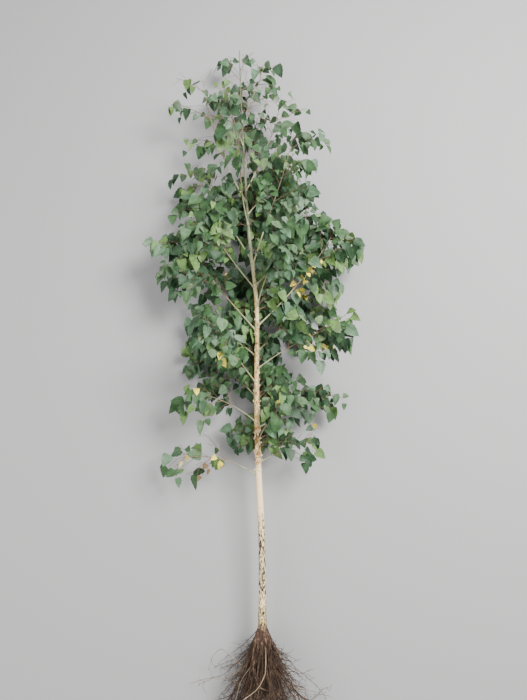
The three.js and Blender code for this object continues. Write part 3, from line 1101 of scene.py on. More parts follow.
    def junctions(
        self, height: Floats, around: Floats, radius: Floats, boughs: "Boughs"
    ) -> tuple[Floats, Floats]:
        """The swellings and dark scars where boughs leave, and at the knots of lost twigs.

        Around a bough, the swelling is a bell curve of the distance over the bark, and a dark bow
        follows a half circle above it. A knot has a ring and a hollow.

        Args:
            height: of each ring.
            around: the angle of each point around the trunk.
            radius: of each ring.
            boughs: the boughs that leave the trunk.

        Returns:
            How far each point stands out, and how dark it is from 0 to 1.
        """
        swell = np.zeros((len(height), len(around)))
        scar = np.zeros_like(swell)

        def offsets(place: float, side: float) -> tuple[Floats, Floats]:
            """How far round the trunk and how far up each point lies from a place on the bark."""
            turn = (around - side + np.pi) % (2 * np.pi) - np.pi
            return turn * radius, height - place

        for bough in boughs.all:
            girth = boughs.girth(bough)
            place = bough.height + girth * 0.8
            across, up = offsets(place, np.radians(bough.around))
            away = np.hypot(across, up * 0.8)
            swell += 0.42 * girth * bell(away, 1.5 * girth)
            bow = bell(np.hypot(across, up - girth) - 1.9 * girth, 0.35 * girth)
            scar += bow * ramped(up, 0.0, girth) * (radius > self.bows_to)
        random = np.random.default_rng(21)
        places = random.uniform(*self.knot_reach, self.knots)
        sides = random.uniform(-np.pi, np.pi, self.knots)
        sizes = random.uniform(*self.knot_size, self.knots)
        for place, side, size in zip(places, sides, sizes):
            away = np.hypot(*offsets(place, side))
            swell += 0.0011 * bell(away - size, 0.5 * size) - 0.0008 * bell(away, 0.6 * size)
            scar += bell(away, 1.1 * size, 4)
        return swell, np.clip(scar, 0.0, 1.0)

    def build(self, boughs: "Boughs") -> None:
        """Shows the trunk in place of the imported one."""
        bark = TrunkBark(foot=float(self.collar[1]), length=self.line.length).material()
        show("trunk_bark", self.surface(boughs), [bark], ["trunk"])


@dataclass
class BarkCurls:
    """Small loose curls of papery bark, above the smooth white stretch of the trunk."""

    trunk: Trunk
    count: int = 84
    lowest: float = 0.57
    highest: float = 1.22
    low_ones: float = 1.9  # the higher, the more of them are low
    width: Span = (0.005, 0.013)
    tall: Span = (0.004, 0.014)
    curl: Span = (0.5, 2.2)  # how far a curl turns, in radians
    thickness: float = 0.0003
    sunk: float = 0.0002  # how deep the held edge lies in the bark
    narrowed: float = 0.45  # how much lower the free edge is, as a share
    raised: float = 0.15  # and how much further up the trunk
    rows: int = 7
    columns: int = 4

    def surface(self) -> Surface:
        """The curls.

        A curl turns away from the bark round an arc: a point lies width times sine(turn u) / turn
        round the trunk and width times (1 - cosine(turn u)) / turn off it, where u goes from 0 at
        the held edge to 1 at the free one.

        Returns:
            One closed surface of all curls.
        """
        random = np.random.default_rng(31)
        up_trunk = random.uniform(0, 1, self.count) ** self.low_ones
        height = self.lowest + up_trunk * (self.highest - self.lowest)
        side = random.uniform(-np.pi, np.pi, self.count)
        sizes = [random.uniform(*span, self.count) for span in (self.width, self.tall, self.curl)]
        way = random.choice([-1.0, 1.0], self.count)
        share = height / self.trunk.line.length
        tangent = self.trunk.line.direction(share)
        first, second = square_pair(tangent, RIGHT)
        outward = turned(first, second, side)
        onward = turned(second, -first, side) * way[:, None]
        u = np.linspace(0.0, 1.0, self.rows)[None, :, None]
        v = np.linspace(-0.5, 0.5, self.columns)[None, None, :]
        spread = [a[:, None, None] for a in (*sizes, self.trunk.radius(share), way)]
        wide, high, bend, radius, sense = spread
        along_bark = wide * np.sin(bend * u) / bend
        hollow = 0.5 * along_bark**2 / radius  # how far the round bark falls away below the curl
        off_bark = wide * (1.0 - np.cos(bend * u)) / bend - self.sunk - hollow * u
        up = v * sense * high * (1.0 - self.narrowed * u) + self.raised * high * u
        grid = (
            self.trunk.line.at(share)[:, None, None]
            + outward[:, None, None] * (radius + off_bark)[..., None]
            + onward[:, None, None] * (along_bark + 0 * v)[..., None]
            + tangent[:, None, None] * up[..., None]
        )
        return thin_sheets(grid, self.thickness)

    def build(self) -> None:
        """Shows the curls."""
        show("bark_curls", self.surface(), [PaperBark().material()])

# The boughs


@dataclass(frozen=True)
class Bough:
    """One bough, as the source has it. Where bare is 0, its foliage starts at the trunk."""

    name: str
    height: float  # where it leaves the trunk
    around: float  # in degrees, as its rise and its bend
    rise: float
    bend: float
    reach: float
    bare: float  # share of its length


BOUGHS = (
    Bough("low_left", 0.549, 178, 35, -48, 0.35, 0.3),
    Bough("low_right", 0.600, 12, 26, -8, 0.23, 0.22),
    Bough("low_front", 0.668, 66, 42, -12, 0.27, 0.3),
    Bough("second_right", 0.733, -8, 27, -4, 0.33, 0.28),
    Bough("second_left", 0.752, 170, 42, -40, 0.31, 0.24),
    Bough("back_left", 0.850, 222, 40, -20, 0.40, 0.24),
    Bough("front_left", 0.905, 128, 40, -10, 0.34, 0.26),
    Bough("third_right", 0.960, 18, 34, -16, 0.39, 0.28),
    Bough("short_left", 1.010, 196, 42, -20, 0.33, 0),
    Bough("back_right", 1.030, 318, 42, -6, 0.41, 0.28),
    Bough("main_left", 1.112, 177, 48, 6, 0.53, 0.3),
    Bough("main_right", 1.133, 3, 42, 20, 0.54, 0.3),
    Bough("short_back", 1.180, 256, 50, -10, 0.30, 0),
    Bough("front_right", 1.205, 62, 50, 4, 0.37, 0.28),
    Bough("third_left", 1.287, 158, 48, 2, 0.42, 0.28),
    Bough("fork_right", 1.300, -16, 46, 12, 0.43, 0.26),
    Bough("steep_left", 1.407, 190, 60, -4, 0.54, 0.34),
    Bough("steep_right", 1.385, 34, 66, 6, 0.56, 0.3),
    Bough("back_high", 1.490, 268, 56, 6, 0.42, 0.24),
    Bough("front_high", 1.560, 108, 60, 2, 0.38, 0.24),
    Bough("short_right", 1.610, 350, 52, -6, 0.33, 0),
    Bough("long_left", 1.667, 174, 59, 24, 0.60, 0.3),
    Bough("upper_right", 1.717, 14, 60, 20, 0.46, 0.24),
    Bough("upper_back", 1.830, 300, 62, 6, 0.33, 0),
    Bough("top_left", 1.935, 160, 68, 6, 0.29, 0),
    Bough("top_right", 2.050, 12, 66, 8, 0.30, 0),
)


@dataclass
class Mass:
    """A mass of foliage's stem: its line, the plane it spreads in, and where its foliage starts."""

    line: Line
    across: Floats
    start: float  # share of the line


@dataclass
class Boughs:
    """All boughs, each one limb from the trunk's middle to the tip of its foliage."""

    trunk: Trunk
    all: tuple[Bough, ...] = BOUGHS
    diameter: float = 0.0034
    diameter_share: float = 0.0088
    tip_diameter: float = 0.0019
    power: float = 0.9
    walk: Walk = Walk(sway=0.005)
    slimmed: float = 0.74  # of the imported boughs, which are stouter than the real ones
    rings: int = 56
    ring_crowding: float = 1.15
    sides: int = 12
    collar: Span = (1.1, 0.009)  # how much wider they are at the bark, and how soon that fades out
    joints: Span = (0.05, 0.006)  # how much wider they are at a joint, and how far joints lie apart
    joint_power: int = 8  # the higher, the shorter the joints
    roughness: float = 0.08

    def girth(self, bough: Bough) -> float:
        """A bough's radius where it leaves the trunk."""
        return (self.diameter + self.diameter_share * bough.reach) / 2

    def line(self, bough: Bough) -> Line:
        """A bough's centreline, by the source's rule.

        It starts on the trunk's centreline and turns steadily from its rise through its bend.

        Args:
            bough: which of them.

        Returns:
            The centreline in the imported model's frame.
        """
        angle = np.radians(bough.rise + bough.bend * self.walk.middles)
        ways = turned(around_trunk(bough.around), ALONG, angle)
        start = self.trunk.grown.at(bough.height / self.trunk.heights[-1])
        return self.walk.line(start, ways, bough.reach, bough.around).moved(self.trunk.shift)

    def masses(self) -> list[Mass]:
        """The stems of all masses in the source's order, with the leader's last."""
        made = [Mass(self.line(bough), across_from(bough.around), bough.bare) for bough in self.all]
        return [*made, Mass(self.trunk.line, UP, self.trunk.end)]

    def surface(self) -> Surface:
        """The boughs with their relief.

        The radius is the source's taper, slimmed, widened to a collar by e to the power -(distance
        from the bark / how soon it fades out), and roughened by noise and by a slight swelling at
        every joint.

        Returns:
            One closed surface of all boughs.
        """
        share = np.linspace(0.0, 1.0, self.rings) ** self.ring_crowding
        paths = np.stack([self.line(bough).at(share) for bough in self.all])
        reach = np.array([bough.reach for bough in self.all])[:, None]
        root = self.diameter + self.diameter_share * reach
        radii = self.slimmed * taper(share[None], root, self.tip_diameter, self.power)
        heights = np.array([bough.height for bough in self.all]) / self.trunk.heights[-1]
        out = np.maximum(share[None] * reach - self.trunk.radius(heights)[:, None], 0.0)
        wider, fade = self.collar
        swollen, apart = self.joints
        radii = radii * (1.0 + wider * np.exp(-out / fade))
        radii = radii * (1.0 + swollen * np.sin(out / apart) ** self.joint_power)
        rough = 1.0 + self.roughness * relief(paths, (0.006, 0.009, 0.006), 8)
        return tubes(paths, radii * rough, self.sides)

    def build(self) -> None:
        """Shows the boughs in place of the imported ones."""
        bark = LimbBark("bough_bark", (0.43, 0.455, 0.235), (0.22, 0.155, 0.095), (0.56, 0.53, 0.38))
        nodes = [f"bough_{bough.name}" for bough in self.all if bough.bare]
        show("boughs", self.surface(), [bark.material()], nodes)


# Twigs and leaves


@dataclass
class Shoots:
    """Thin shoots of one order: their paths, the plane each spreads in, and their lengths."""

    paths: Floats  # (shoots, points, 3)
    across: Floats  # (shoots, 3)
    lengths: Floats  # (shoots,)

    @staticmethod
    def joined(parts: Sequence["Shoots"]) -> "Shoots":
        """Several sets of shoots as one."""
        return Shoots(*(np.concatenate(arrays) for arrays in zip(*(vars(p).values() for p in parts))))

    def at(self, index: Whole, share: Floats) -> Floats:
        """Points at shares along the shoots of these numbers."""
        steps = self.paths.shape[1] - 1
        place = np.clip(share, 0.0, 1.0) * steps
        low = np.minimum(place.astype(int), steps - 1)
        part = (place - low)[:, None]
        return self.paths[index, low] * (1.0 - part) + self.paths[index, low + 1] * part

    def direction(self, index: Whole, share: Floats) -> Floats:
        """The directions of chosen shoots at shares along them."""
        reach = 0.06  # to both sides
        return unit(self.at(index, share + reach) - self.at(index, share - reach))

    def spaced(self, first: float, last: float, spacing: float) -> tuple[Whole, Whole, Floats]:
        """Places along all shoots.

        Args:
            first: the share where they begin.
            last: the share where they end.
            spacing: about how far apart they are.

        Returns:
            For each place its shoot's number, its own number on that shoot, and its share.
        """
        counts = np.maximum(1, np.round(self.lengths * (last - first) / spacing)).astype(int)
        index = np.repeat(np.arange(len(counts)), counts)
        order = np.arange(len(index)) - np.repeat(np.cumsum(counts) - counts, counts)
        share = first + (last - first) * (order + 0.5) / counts[index]
        return index, order, share


FORWARD = 0.35  # how far a shoot turns on along its stem towards its tip
SAG = 0.25  # how far it sags, as a share of its droop


def sprout(
    start: Floats, stem: Floats, across: Floats, turn: Floats, angle: Floats, length: Floats,
    hang: Floats, steps: int,
) -> Floats:
    """Paths of side shoots, by the source's rule.

    A shoot's direction at a share t is outward times sine(angle) + the stem's times (cosine(angle)
    + forward t) - 2 hang t along the tree. It then sags by sag times hang times its length times t
    squared.

    Args:
        start: (shoots, 3), where they leave.
        stem: (shoots, 3), the direction of what carries them.
        across: (shoots, 3), square to the plane that they spread in.
        turn: out of that plane, in radians; half a turn is the other side.
        angle: away from the stem.
        length: of each shoot.
        hang: how far it droops towards the tree's foot, as a share of its length.
        steps: of a path.

    Returns:
        (shoots, steps + 1, 3).
    """
    normal = square_to(stem, across)
    outward = turned(np.cross(normal, stem), normal, turn)
    t = ((np.arange(steps) + 0.5) / steps)[None, :, None]
    leave, droop, reach = (a[:, None, None] for a in (angle, hang, length))
    way = unit(
        outward[:, None] * np.sin(leave)
        + stem[:, None] * (np.cos(leave) + FORWARD * t)
        - ALONG * 2 * droop * t
    )
    grown = start[:, None] + np.cumsum(way, axis=1) * reach / steps
    share = ((np.arange(steps) + 1) / steps)[None, :, None]
    grown = grown - UP * droop * reach * SAG * share**2
    return np.concatenate([start[:, None], grown], axis=1)


@dataclass
class Twigs:
    """The side twigs of all masses, and the finer twigs that they carry."""

    masses: list[Mass]
    first_index: int = 7  # the source's number of the first mass of foliage
    stem_points: int = 31
    first: float = 0.05  # share of a stem where its side twigs begin
    last: float = 0.9
    spacing: float = 0.066
    angle: float = 46
    angle_spread: float = 16
    share: float = 0.5  # of the stem's length, for a twig at its foot
    upper: float = 0.45  # how much less it is at the tip
    uneven: Span = (0.75, 0.5)  # the least factor on a twig's length, and what chance adds
    shortest: float = 0.058
    longest: float = 0.19
    roll: float = 42  # how far a twig may turn out of its plane, in degrees
    hang: float = 0.3
    steps: int = 14
    fine_steps: int = 7
    fine_spacing: float = 0.030  # of the finer twigs on a side twig
    stem_spacing: float = 0.036  # and on a stem
    twig_span: Span = (0.12, 0.96)  # the shares of a side twig between which they leave
    stem_span: Span = (0.04, 0.97)  # and those of a stem
    fine_length: Span = (0.028, 0.085)
    fine_share: float = 0.55
    fine_upper: float = 0.55
    fine_roll: float = 75
    zigzag: float = 0.0006
    side_girth: Colour = (0.0021, 0.006, 0.0013)  # diameter at the root, share of length, tip
    fine_girth: Colour = (0.0012, 0.006, 0.0009)
    inner_count: int = 60  # shoots straight from the trunk
    inner_shares: Span = (0.265, 0.74)  # of its length, where they are
    inner_low: float = 1.4  # the higher, the more of them are low
    inner_around: Span = (172.0, 368.0)  # in degrees
    inner_length: Span = (0.07, 0.17)
    ground: Ground = Ground(0.004, 0.03)

    @cached_property
    def stems(self) -> Shoots:
        """The masses' own stems, from where their foliage starts."""
        shares = np.linspace(0.0, 1.0, self.stem_points)
        paths = np.stack([m.line.at(m.start + (1 - m.start) * shares) for m in self.masses])
        lengths = np.array([m.line.length * (1 - m.start) for m in self.masses])
        return Shoots(paths, np.stack([m.across for m in self.masses]), lengths)

    @cached_property
    def side(self) -> Shoots:
        """The side twigs and the trunk's own shoots.

        The side twigs have the source's own draws, so that they lie where its twigs do.
        """
        index: list[int] = []
        drawn: list[tuple[float, ...]] = []
        for number, length in enumerate(self.stems.lengths):
            draws = Draws(number + self.first_index)
            count = round(length / self.spacing)
            for i in range(count):
                place = self.first + (self.last - self.first) * (i + 0.5) / count
                turn = (np.pi if i % 2 else 0.0) + np.radians(self.roll) * (2 * draws.next() - 1)
                angle = np.radians(self.angle + self.angle_spread * (draws.next() - 0.5))
                full = length * self.share * (1 - self.upper * place)
                least, chance = self.uneven
                reach = min(max(full * (least + chance * draws.next()), self.shortest), self.longest)
                index.append(number)
                drawn.append((place, turn, angle, reach, self.hang * (0.5 + draws.next())))
        carrier = np.array(index)
        place, turn, angle, reach, hang = np.array(drawn).T
        across = self.stems.across[carrier]
        start, stem = self.stems.at(carrier, place), self.stems.direction(carrier, place)
        paths = sprout(start, stem, across, turn, angle, reach, hang, self.steps)
        grown = Shoots.joined([Shoots(paths, across, reach), self.inner()])
        return Shoots(self.ground.under(grown.paths), grown.across, grown.lengths)

    def inner(self) -> Shoots:
        """Short shoots straight from the trunk, at its sides and behind it, in the crown's middle.

        Returns:
            The shoots, not yet levelled out above the ground.
        """
        random = np.random.default_rng(43)
        count = self.inner_count
        trunk = self.masses[-1].line
        lowest, highest = self.inner_shares
        share = lowest + (highest - lowest) * random.uniform(0, 1, count) ** self.inner_low
        side = around_trunk(random.uniform(*self.inner_around, count))
        stem = trunk.direction(share)
        across = unit(np.cross(stem, side))
        angle = np.radians(self.angle + self.angle_spread * random.uniform(-1, 1, count))
        length = random.uniform(*self.inner_length, count)
        hang = self.hang * random.uniform(0.5, 1.5, count)
        paths = sprout(trunk.at(share), stem, across, 0 * share, angle, length, hang, self.steps)
        return Shoots(paths, across, length)

    @cached_property
    def fine(self) -> Shoots:
        """The finer twigs, on side twigs and stems alike, to both sides in turn."""
        random = np.random.default_rng(41)
        on_twigs = self.finer(self.side, self.fine_spacing, self.twig_span, random)
        on_stems = self.finer(self.stems, self.stem_spacing, self.stem_span, random)
        grown = Shoots.joined([on_twigs, on_stems])
        zigzag = self.zigzag * (-1.0) ** np.arange(self.fine_steps + 1)
        zigzag[0] = 0.0
        paths = grown.paths + grown.across[:, None] * zigzag[None, :, None]
        return Shoots(self.ground.under(paths), grown.across, grown.lengths)

    def finer(self, parent: Shoots, spacing: float, span: Span, random: np.random.Generator) -> Shoots:
        """Grows finer twigs along a set of shoots.

        Args:
            parent: the shoots that carry them.
            spacing: between two of them.
            span: the shares of the parent where they begin and end.
            random: the stream that their draws come from.

        Returns:
            The finer twigs, each in its parent's plane.
        """
        index, order, share = parent.spaced(*span, spacing)
        count = len(index)
        roll = np.radians(self.fine_roll) * random.uniform(-1, 1, count)
        turn = np.where(order % 2 == 1, np.pi, 0.0) + roll
        angle = np.radians(self.angle + self.angle_spread * random.uniform(-0.6, 0.6, count))
        full = parent.lengths[index] * self.fine_share * (1 - self.fine_upper * share)
        length = np.clip(full * random.uniform(0.7, 1.25, count), *self.fine_length)
        hang = self.hang * random.uniform(0.5, 1.6, count)
        across = parent.across[index]
        start, stem = parent.at(index, share), parent.direction(index, share)
        paths = sprout(start, stem, across, turn, angle, length, hang, self.fine_steps)
        return Shoots(paths, across, length)

    def surface(self) -> Surface:
        """Side twigs and finer twigs as thin tapering tubes.

        Returns:
            One closed surface of all twigs.
        """
        made = []
        for twigs, girth, sides in ((self.side, self.side_girth, 5), (self.fine, self.fine_girth, 4)):
            root, longer, tip = girth
            share = np.linspace(0.0, 1.0, twigs.paths.shape[1])[None]
            radii = taper(share, (root + longer * twigs.lengths)[:, None], tip)
            made.append(tubes(twigs.paths, radii, sides))
        return Surface.joined(made)

    def build(self) -> None:
        """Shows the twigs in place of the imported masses."""
        old, young, wart = (0.225, 0.145, 0.09), (0.13, 0.075, 0.045), (0.36, 0.28, 0.20)
        bark = LimbBark("twig_bark", old, young, wart, roughness=0.45)
        nodes = [f"foliage_{bough.name}" for bough in BOUGHS] + ["foliage_leader"]
        show("twigs", self.surface(), [bark.material()], nodes)


@dataclass
class LeafShape:
    """A birch leaf: a round base, full sides, a drawn point and a toothed margin."""

    stations: int = 10  # steps along the blade
    width: float = 0.80  # of the length
    tooth: float = 0.05  # how far a tooth stands out, as a share of the half width
    thickness: float = 0.0005  # at the midrib
    lobes: float = 0.95  # how far the margin falls back towards the stalk
    pleat: float = 0.006  # height of the pleats at the margin, as a share of the length
    widest: float = 0.366  # the greatest value of the margin's formula

    def half_width(self, s: Floats) -> Floats:
        """Half the blade's width at a share s of its length, as a share of the length.

        It is s to the power 0.5 times (1 - s) to the power 1.1 times (1 - 0.35 s cubed), divided by
        its greatest value.
        """
        return self.width / 2 * s**0.5 * (1 - s) ** 1.1 * (1 - 0.35 * s**3) / self.widest

    @cached_property
    def template(self) -> tuple[Floats, Floats, Floats, Floats, Floats]:
        """The blade's points, as shares of the length.

        Returns:
            How far along, how far across, how high by pleats, which layer (1 is the upper midrib,
            -1 the lower one and 0 the margin), and the share along the midrib that it goes with.
        """
        k = np.arange(1, self.stations)
        s = k / self.stations
        even = (-1.0) ** k
        half = self.half_width(s) * (1.0 + self.tooth * even)
        margin = s + 0.012 * even - self.lobes * half**2 * (1 - s)
        zero = np.zeros_like(s)
        along = np.concatenate([[0.0, 1.0], margin, margin, s, s])
        across = np.concatenate([[0.0, 0.0], -half, half, zero, zero])
        high = np.concatenate([[0.0, 0.0], even * self.pleat, even * self.pleat, zero, zero])
        layer = np.concatenate([[0.0, 0.0], zero, zero, zero + 1.0, zero - 1.0])
        return along, across, high, layer, np.concatenate([[0.0, 1.0], s, s, s, s])

    def faces(self) -> tuple[Whole, Whole]:
        """The faces of the upper layer, then of the lower one, as quads and triangles.

        A quad of the lower layer runs the other way round from the same corner, so that both are
        halved along the same line.

        Returns:
            The quads and the triangles.
        """
        count = self.stations - 1
        k = np.arange(count - 1)
        left, right, rib, under = 2 + np.arange(4) * count

        def layer(middle: int) -> tuple[Whole, Whole]:
            """The quads and triangles between both margins and one of the midribs."""
            quads = [
                np.stack([left + k, middle + k, middle + k + 1, left + k + 1], -1),
                np.stack([middle + k, right + k, right + k + 1, middle + k + 1], -1),
            ]
            end = count - 1
            ends = [[0, middle, left], [0, right, middle]]
            ends += [[left + end, middle + end, 1], [middle + end, right + end, 1]]
            return np.concatenate(quads), np.array(ends)

        (top, top_ends), (low, low_ends) = layer(rib), layer(under)
        low = low[:, [0, 3, 2, 1]]
        return np.concatenate([top, low]), np.concatenate([top_ends, low_ends[:, ::-1]])


@dataclass
class Leaves:
    """All leaves, each on its own stalk at a bud of a twig."""

    twigs: Twigs
    trunk: Trunk
    shape: LeafShape = field(default_factory=LeafShape)
    length: Span = (0.027, 0.064)
    small_ones: float = 1.9  # the higher, the more leaves are small
    stalk: float = 0.015
    fine_spacing: float = 0.0123
    side_spacing: float = 0.022
    stem_spacing: float = 0.026
    from_share: float = 0.22
    stem_from_share: float = 0.1
    pull: tuple[Span, ...] = ((-0.55, 0.55), (-1.45, -0.55), (-0.45, 0.3))  # of its weight
    facing: tuple[Span, ...] = ((-1.3, 1.3), (-0.8, 0.9))  # how far the upper face may tilt
    turned: float = 0.2  # share of the leaves that show their lower face
    fold: Span = (4, 26)  # of each half, in degrees
    curl: Span = (-0.25, 0.75)  # of the whole blade, in radians
    wave: Span = (0.09, 6.0)  # its height as a share of the half width, and its turns in radians
    ground: Ground = Ground(0.0012, 0.03)
    slim_ground: Ground = Ground(0.0016, 0.03)  # for stalks and buds
    below_top: float = 0.006
    off_trunk: float = 0.006
    sight: float = 0.012  # half the width of the strip that shows the trunk
    sight_to: float = 0.8  # the share of the trunk's length that shows
    low_crown: Span = (0.73, 1.0)  # heights up the trunk where the crown closes
    top_crown: Span = (1.63, 1.98)  # and where it opens again
    low_cover: float = 0.24  # share of the leaves left below
    top_cover: float = 0.22  # and above
    inner_leaves: float = 0.6  # of those missing below, the share that is left beside the trunk
    inner_reach: Span = (0.06, 0.13)  # how far from it they fade out

    @cached_property
    def placed(self) -> dict[str, Floats]:
        """Where every leaf is and how it hangs.

        The stalks leave to both sides in turn. A blade's direction is the pull of its weight, with
        chance in it, + a part of the twig's direction and of its side. Its upper face looks up off
        the ground, tilted at random.

        Returns:
            Arrays by name, one row for each leaf.
        """
        random = np.random.default_rng(51)
        groups = [
            (self.twigs.fine, self.fine_spacing, self.from_share),
            (self.twigs.side, self.side_spacing, self.from_share),
            (self.twigs.stems, self.stem_spacing, self.stem_from_share),
        ]
        parts: list[tuple[Floats, ...]] = []
        spray = 0
        for shoots, spacing, first in groups:
            index, order, share = shoots.spaced(first, 1.0, spacing)
            tips = np.arange(len(shoots.lengths))
            index = np.concatenate([index, tips])
            side = np.concatenate([np.where(order % 2 == 1, 1.0, -1.0), 0.0 * tips])
            share = np.concatenate([share, 1.0 + 0.0 * tips])
            way = shoots.direction(index, share)
            flank = np.cross(square_to(way, shoots.across[index]), way)
            parts.append((shoots.at(index, share), way, flank * side[:, None], index + spray))
            spray += len(tips)
        bud, way, flank, sprays = (np.concatenate(part) for part in zip(*parts))
        count = len(bud)
        pull = np.stack([random.uniform(*span, count) for span in self.pull], -1)
        direction = unit(pull + 0.35 * way + 0.6 * flank)
        tilt = [random.uniform(*span, count) for span in self.facing]
        normal = square_to(direction, np.stack([*tilt, np.ones(count)], -1))
        flipped = random.uniform(size=count) < self.turned
        normal = np.where(flipped[:, None], -normal, normal)
        shortest, longest = self.length
        size = shortest + (longest - shortest) * random.uniform(0, 1, count) ** self.small_ones
        stalk = self.stalk * random.uniform(0.7, 1.3, count)
        leave = unit(flank + 0.6 * way + 0.2 * random.normal(size=(count, 3)))
        knee = bud + leave * stalk[:, None] * 0.5
        root = knee + unit(leave + direction) * stalk[:, None] * 0.55
        made = {
            "bud": bud, "knee": knee, "root": root, "direction": direction, "normal": normal,
            "size": size, "spray": sprays,
            "fold": np.radians(random.uniform(*self.fold, count)),
            "curl": random.uniform(*self.curl, count),
            "wave": random.uniform(0, 2 * np.pi, count),
        }
        left = self.clear_of_trunk(made) & (random.uniform(size=count) < self.cover(made["bud"]))
        return {name: values[left] for name, values in made.items()}

    def cover(self, places: Floats) -> Floats:
        """The share of leaves left at places: few in the top, and at the ends of the lowest boughs.

        Args:
            places: (places, 3).

        Returns:
            A share for each.
        """
        height, right, up = self.trunk.beside(places)
        low = self.low_cover + (1 - self.low_cover) * ramped(height, *self.low_crown)
        near = 1 - ramped(np.hypot(right, up), *self.inner_reach)
        low += (1 - low) * self.inner_leaves * near
        return low + (self.top_cover - low) * ramped(height, *self.top_crown)

    def clear_of_trunk(self, made: dict[str, Floats]) -> Chosen:
        """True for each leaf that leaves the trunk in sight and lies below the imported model's top.

        No part of such a leaf is in the trunk, nor, below the open top, over it as seen from above.

        Args:
            made: the leaves' arrays by name.

        Returns:
            One answer for each leaf.
        """
        clear = made["root"][:, 1] < CAD_BOX[1][1] - self.below_top
        for share in (0.0, 0.35, 0.7, 1.0):
            point = made["root"] + made["direction"] * (made["size"] * share)[:, None]
            height, right, up = self.trunk.beside(point)
            height = height / self.trunk.line.length
            clear &= np.hypot(right, up) > self.trunk.radius(np.clip(height, 0, 1)) + self.off_trunk
            clear &= ~((up > 0) & (height < self.sight_to) & (np.abs(right) < self.sight))
        return clear

    @cached_property
    def tints(self) -> Whole:
        """The number of each leaf's tint: the spray's own, or its spare green where that has limits.

        Yellow and brown are found below a height, and on small leaves.

        Returns:
            One number for each leaf.
        """
        random = np.random.default_rng(61)
        finishes = [tint.value for tint in Tint]
        shares = np.array([finish.share for finish in finishes])
        sprays = int(self.placed["spray"].max()) + 1
        dealt = random.choice(len(finishes), sprays, p=shares / shares.sum())
        spare = random.choice(3, sprays)  # the first three tints have no limits
        tint = dealt[self.placed["spray"]]
        height = (self.placed["root"][:, 1] - self.trunk.collar[1]) / self.trunk.line.length
        highest = np.array([finish.highest for finish in finishes])
        largest = np.array([finish.largest for finish in finishes])
        kept = (height <= highest[tint]) & (self.placed["size"] <= largest[tint])
        return np.where(kept, tint, spare[self.placed["spray"]])

    def blades(self, chosen: Chosen) -> Surface:
        """The blades of chosen leaves.

        A point lies along the leaf by size times sine(curl s) / curl, and falls below the straight
        line by size times (1 - cosine(curl s)) / curl. Across the leaf it lies by cosine(fold), and
        it rises from the midrib by sine(fold). Pleats and a slow wave along the margin are added.

        Args:
            chosen: which of the leaves to make.

        Returns:
            One closed surface, with finish 0 on the upper faces and 1 on the lower ones, and the
            values "along", from the base to the tip, and "across", 0 at the midrib.
        """
        along, across, high, layer, rib = self.shape.template
        held = {name: values[chosen] for name, values in self.placed.items()}
        size, curl, fold = (held[name][:, None] for name in ("size", "curl", "fold"))
        turn = curl * along
        reach = size * along * np.sinc(turn / np.pi)
        fall = size * along * np.sin(turn / 2) * np.sinc(turn / (2 * np.pi))
        out = size * across
        height, turns = self.wave
        wave = height * np.abs(out) * np.sin(turns * along + held["wave"][:, None])
        lift = np.abs(out) * np.sin(fold) + size * high * (np.abs(across) > 0) + wave
        lift = lift + layer * self.shape.thickness / 2 - fall
        direction, normal = held["direction"], held["normal"]
        sideways = np.cross(direction, normal)
        points = (
            held["root"][:, None]
            + direction[:, None] * reach[..., None]
            + sideways[:, None] * (out * np.cos(fold))[..., None]
            + normal[:, None] * lift[..., None]
        )
        points = self.ground.under(points)
        quads, triangles = self.shape.faces()
        count = len(size)
        start = (np.arange(count) * len(along))[:, None, None]
        under_quads = np.arange(len(quads)) >= len(quads) // 2
        under_triangles = np.arange(len(triangles)) >= len(triangles) // 2
        values = {"along": np.tile(rib, count), "across": np.tile(np.abs(across) > 0, count)}
        return Surface(
            points.reshape(-1, 3),
            (quads[None] + start).reshape(-1, 4),
            (triangles[None] + start).reshape(-1, 3),
            values,
            quad_finish=np.tile(under_quads, count).astype(int),
            triangle_finish=np.tile(under_triangles, count).astype(int),
        )

    def stalks(self) -> Surface:
        """The stalks, each bent at a knee, from the bud to a little way along the midrib.

        Returns:
            One closed surface of all stalks.
        """
        held = self.placed
        into = held["root"] + held["direction"] * (held["size"] * 0.05)[:, None]
        paths = np.stack([held["bud"], held["knee"], held["root"], into], axis=1)
        radii = np.array([0.0006, 0.00045, 0.00045, 0.0003])
        return tubes(self.slim_ground.under(paths), radii, 3)

    def buds(self) -> Surface:
        """A small pointed bud in the angle of every stalk.

        Returns:
            One closed surface of all buds.
        """
        bud = self.placed["bud"]
        tip = unit(unit(self.placed["knee"] - bud) + ALONG)
        paths = bud[:, None] + tip[:, None] * np.array([0.0, 0.0018, 0.0045])[None, :, None]
        return tubes(self.slim_ground.under(paths), np.array([0.0005, 0.0011, 0.0001]), 3)

    def build(self) -> None:
        """Shows the leaves, one piece for each tint, with their stalks and buds."""
        for number, tint in enumerate(Tint):
            chosen = self.tints == number
            if chosen.any():
                finish = tint.value
                name = finish.name.replace("leaf_", "leaves_")
                show(name, self.blades(chosen), finish.materials(), sharp=75.0)
                log.info("%s: %d leaves", name, int(chosen.sum()))
        show("leaf_stalks", self.stalks(), [StalkFinish().material()])
        scale = LimbBark("bud_scale", (0.14, 0.07, 0.03), (0.17, 0.12, 0.04), (0.2, 0.14, 0.07), 0.4)
        show("buds", self.buds(), [scale.material()])


# The roots


@dataclass(frozen=True)
class MainRoot:
    """One main root, as the source has it."""

    name: str
    around: float  # in degrees, as the next two
    spread: float  # from the tree's axis
    bend: float
    reach: float


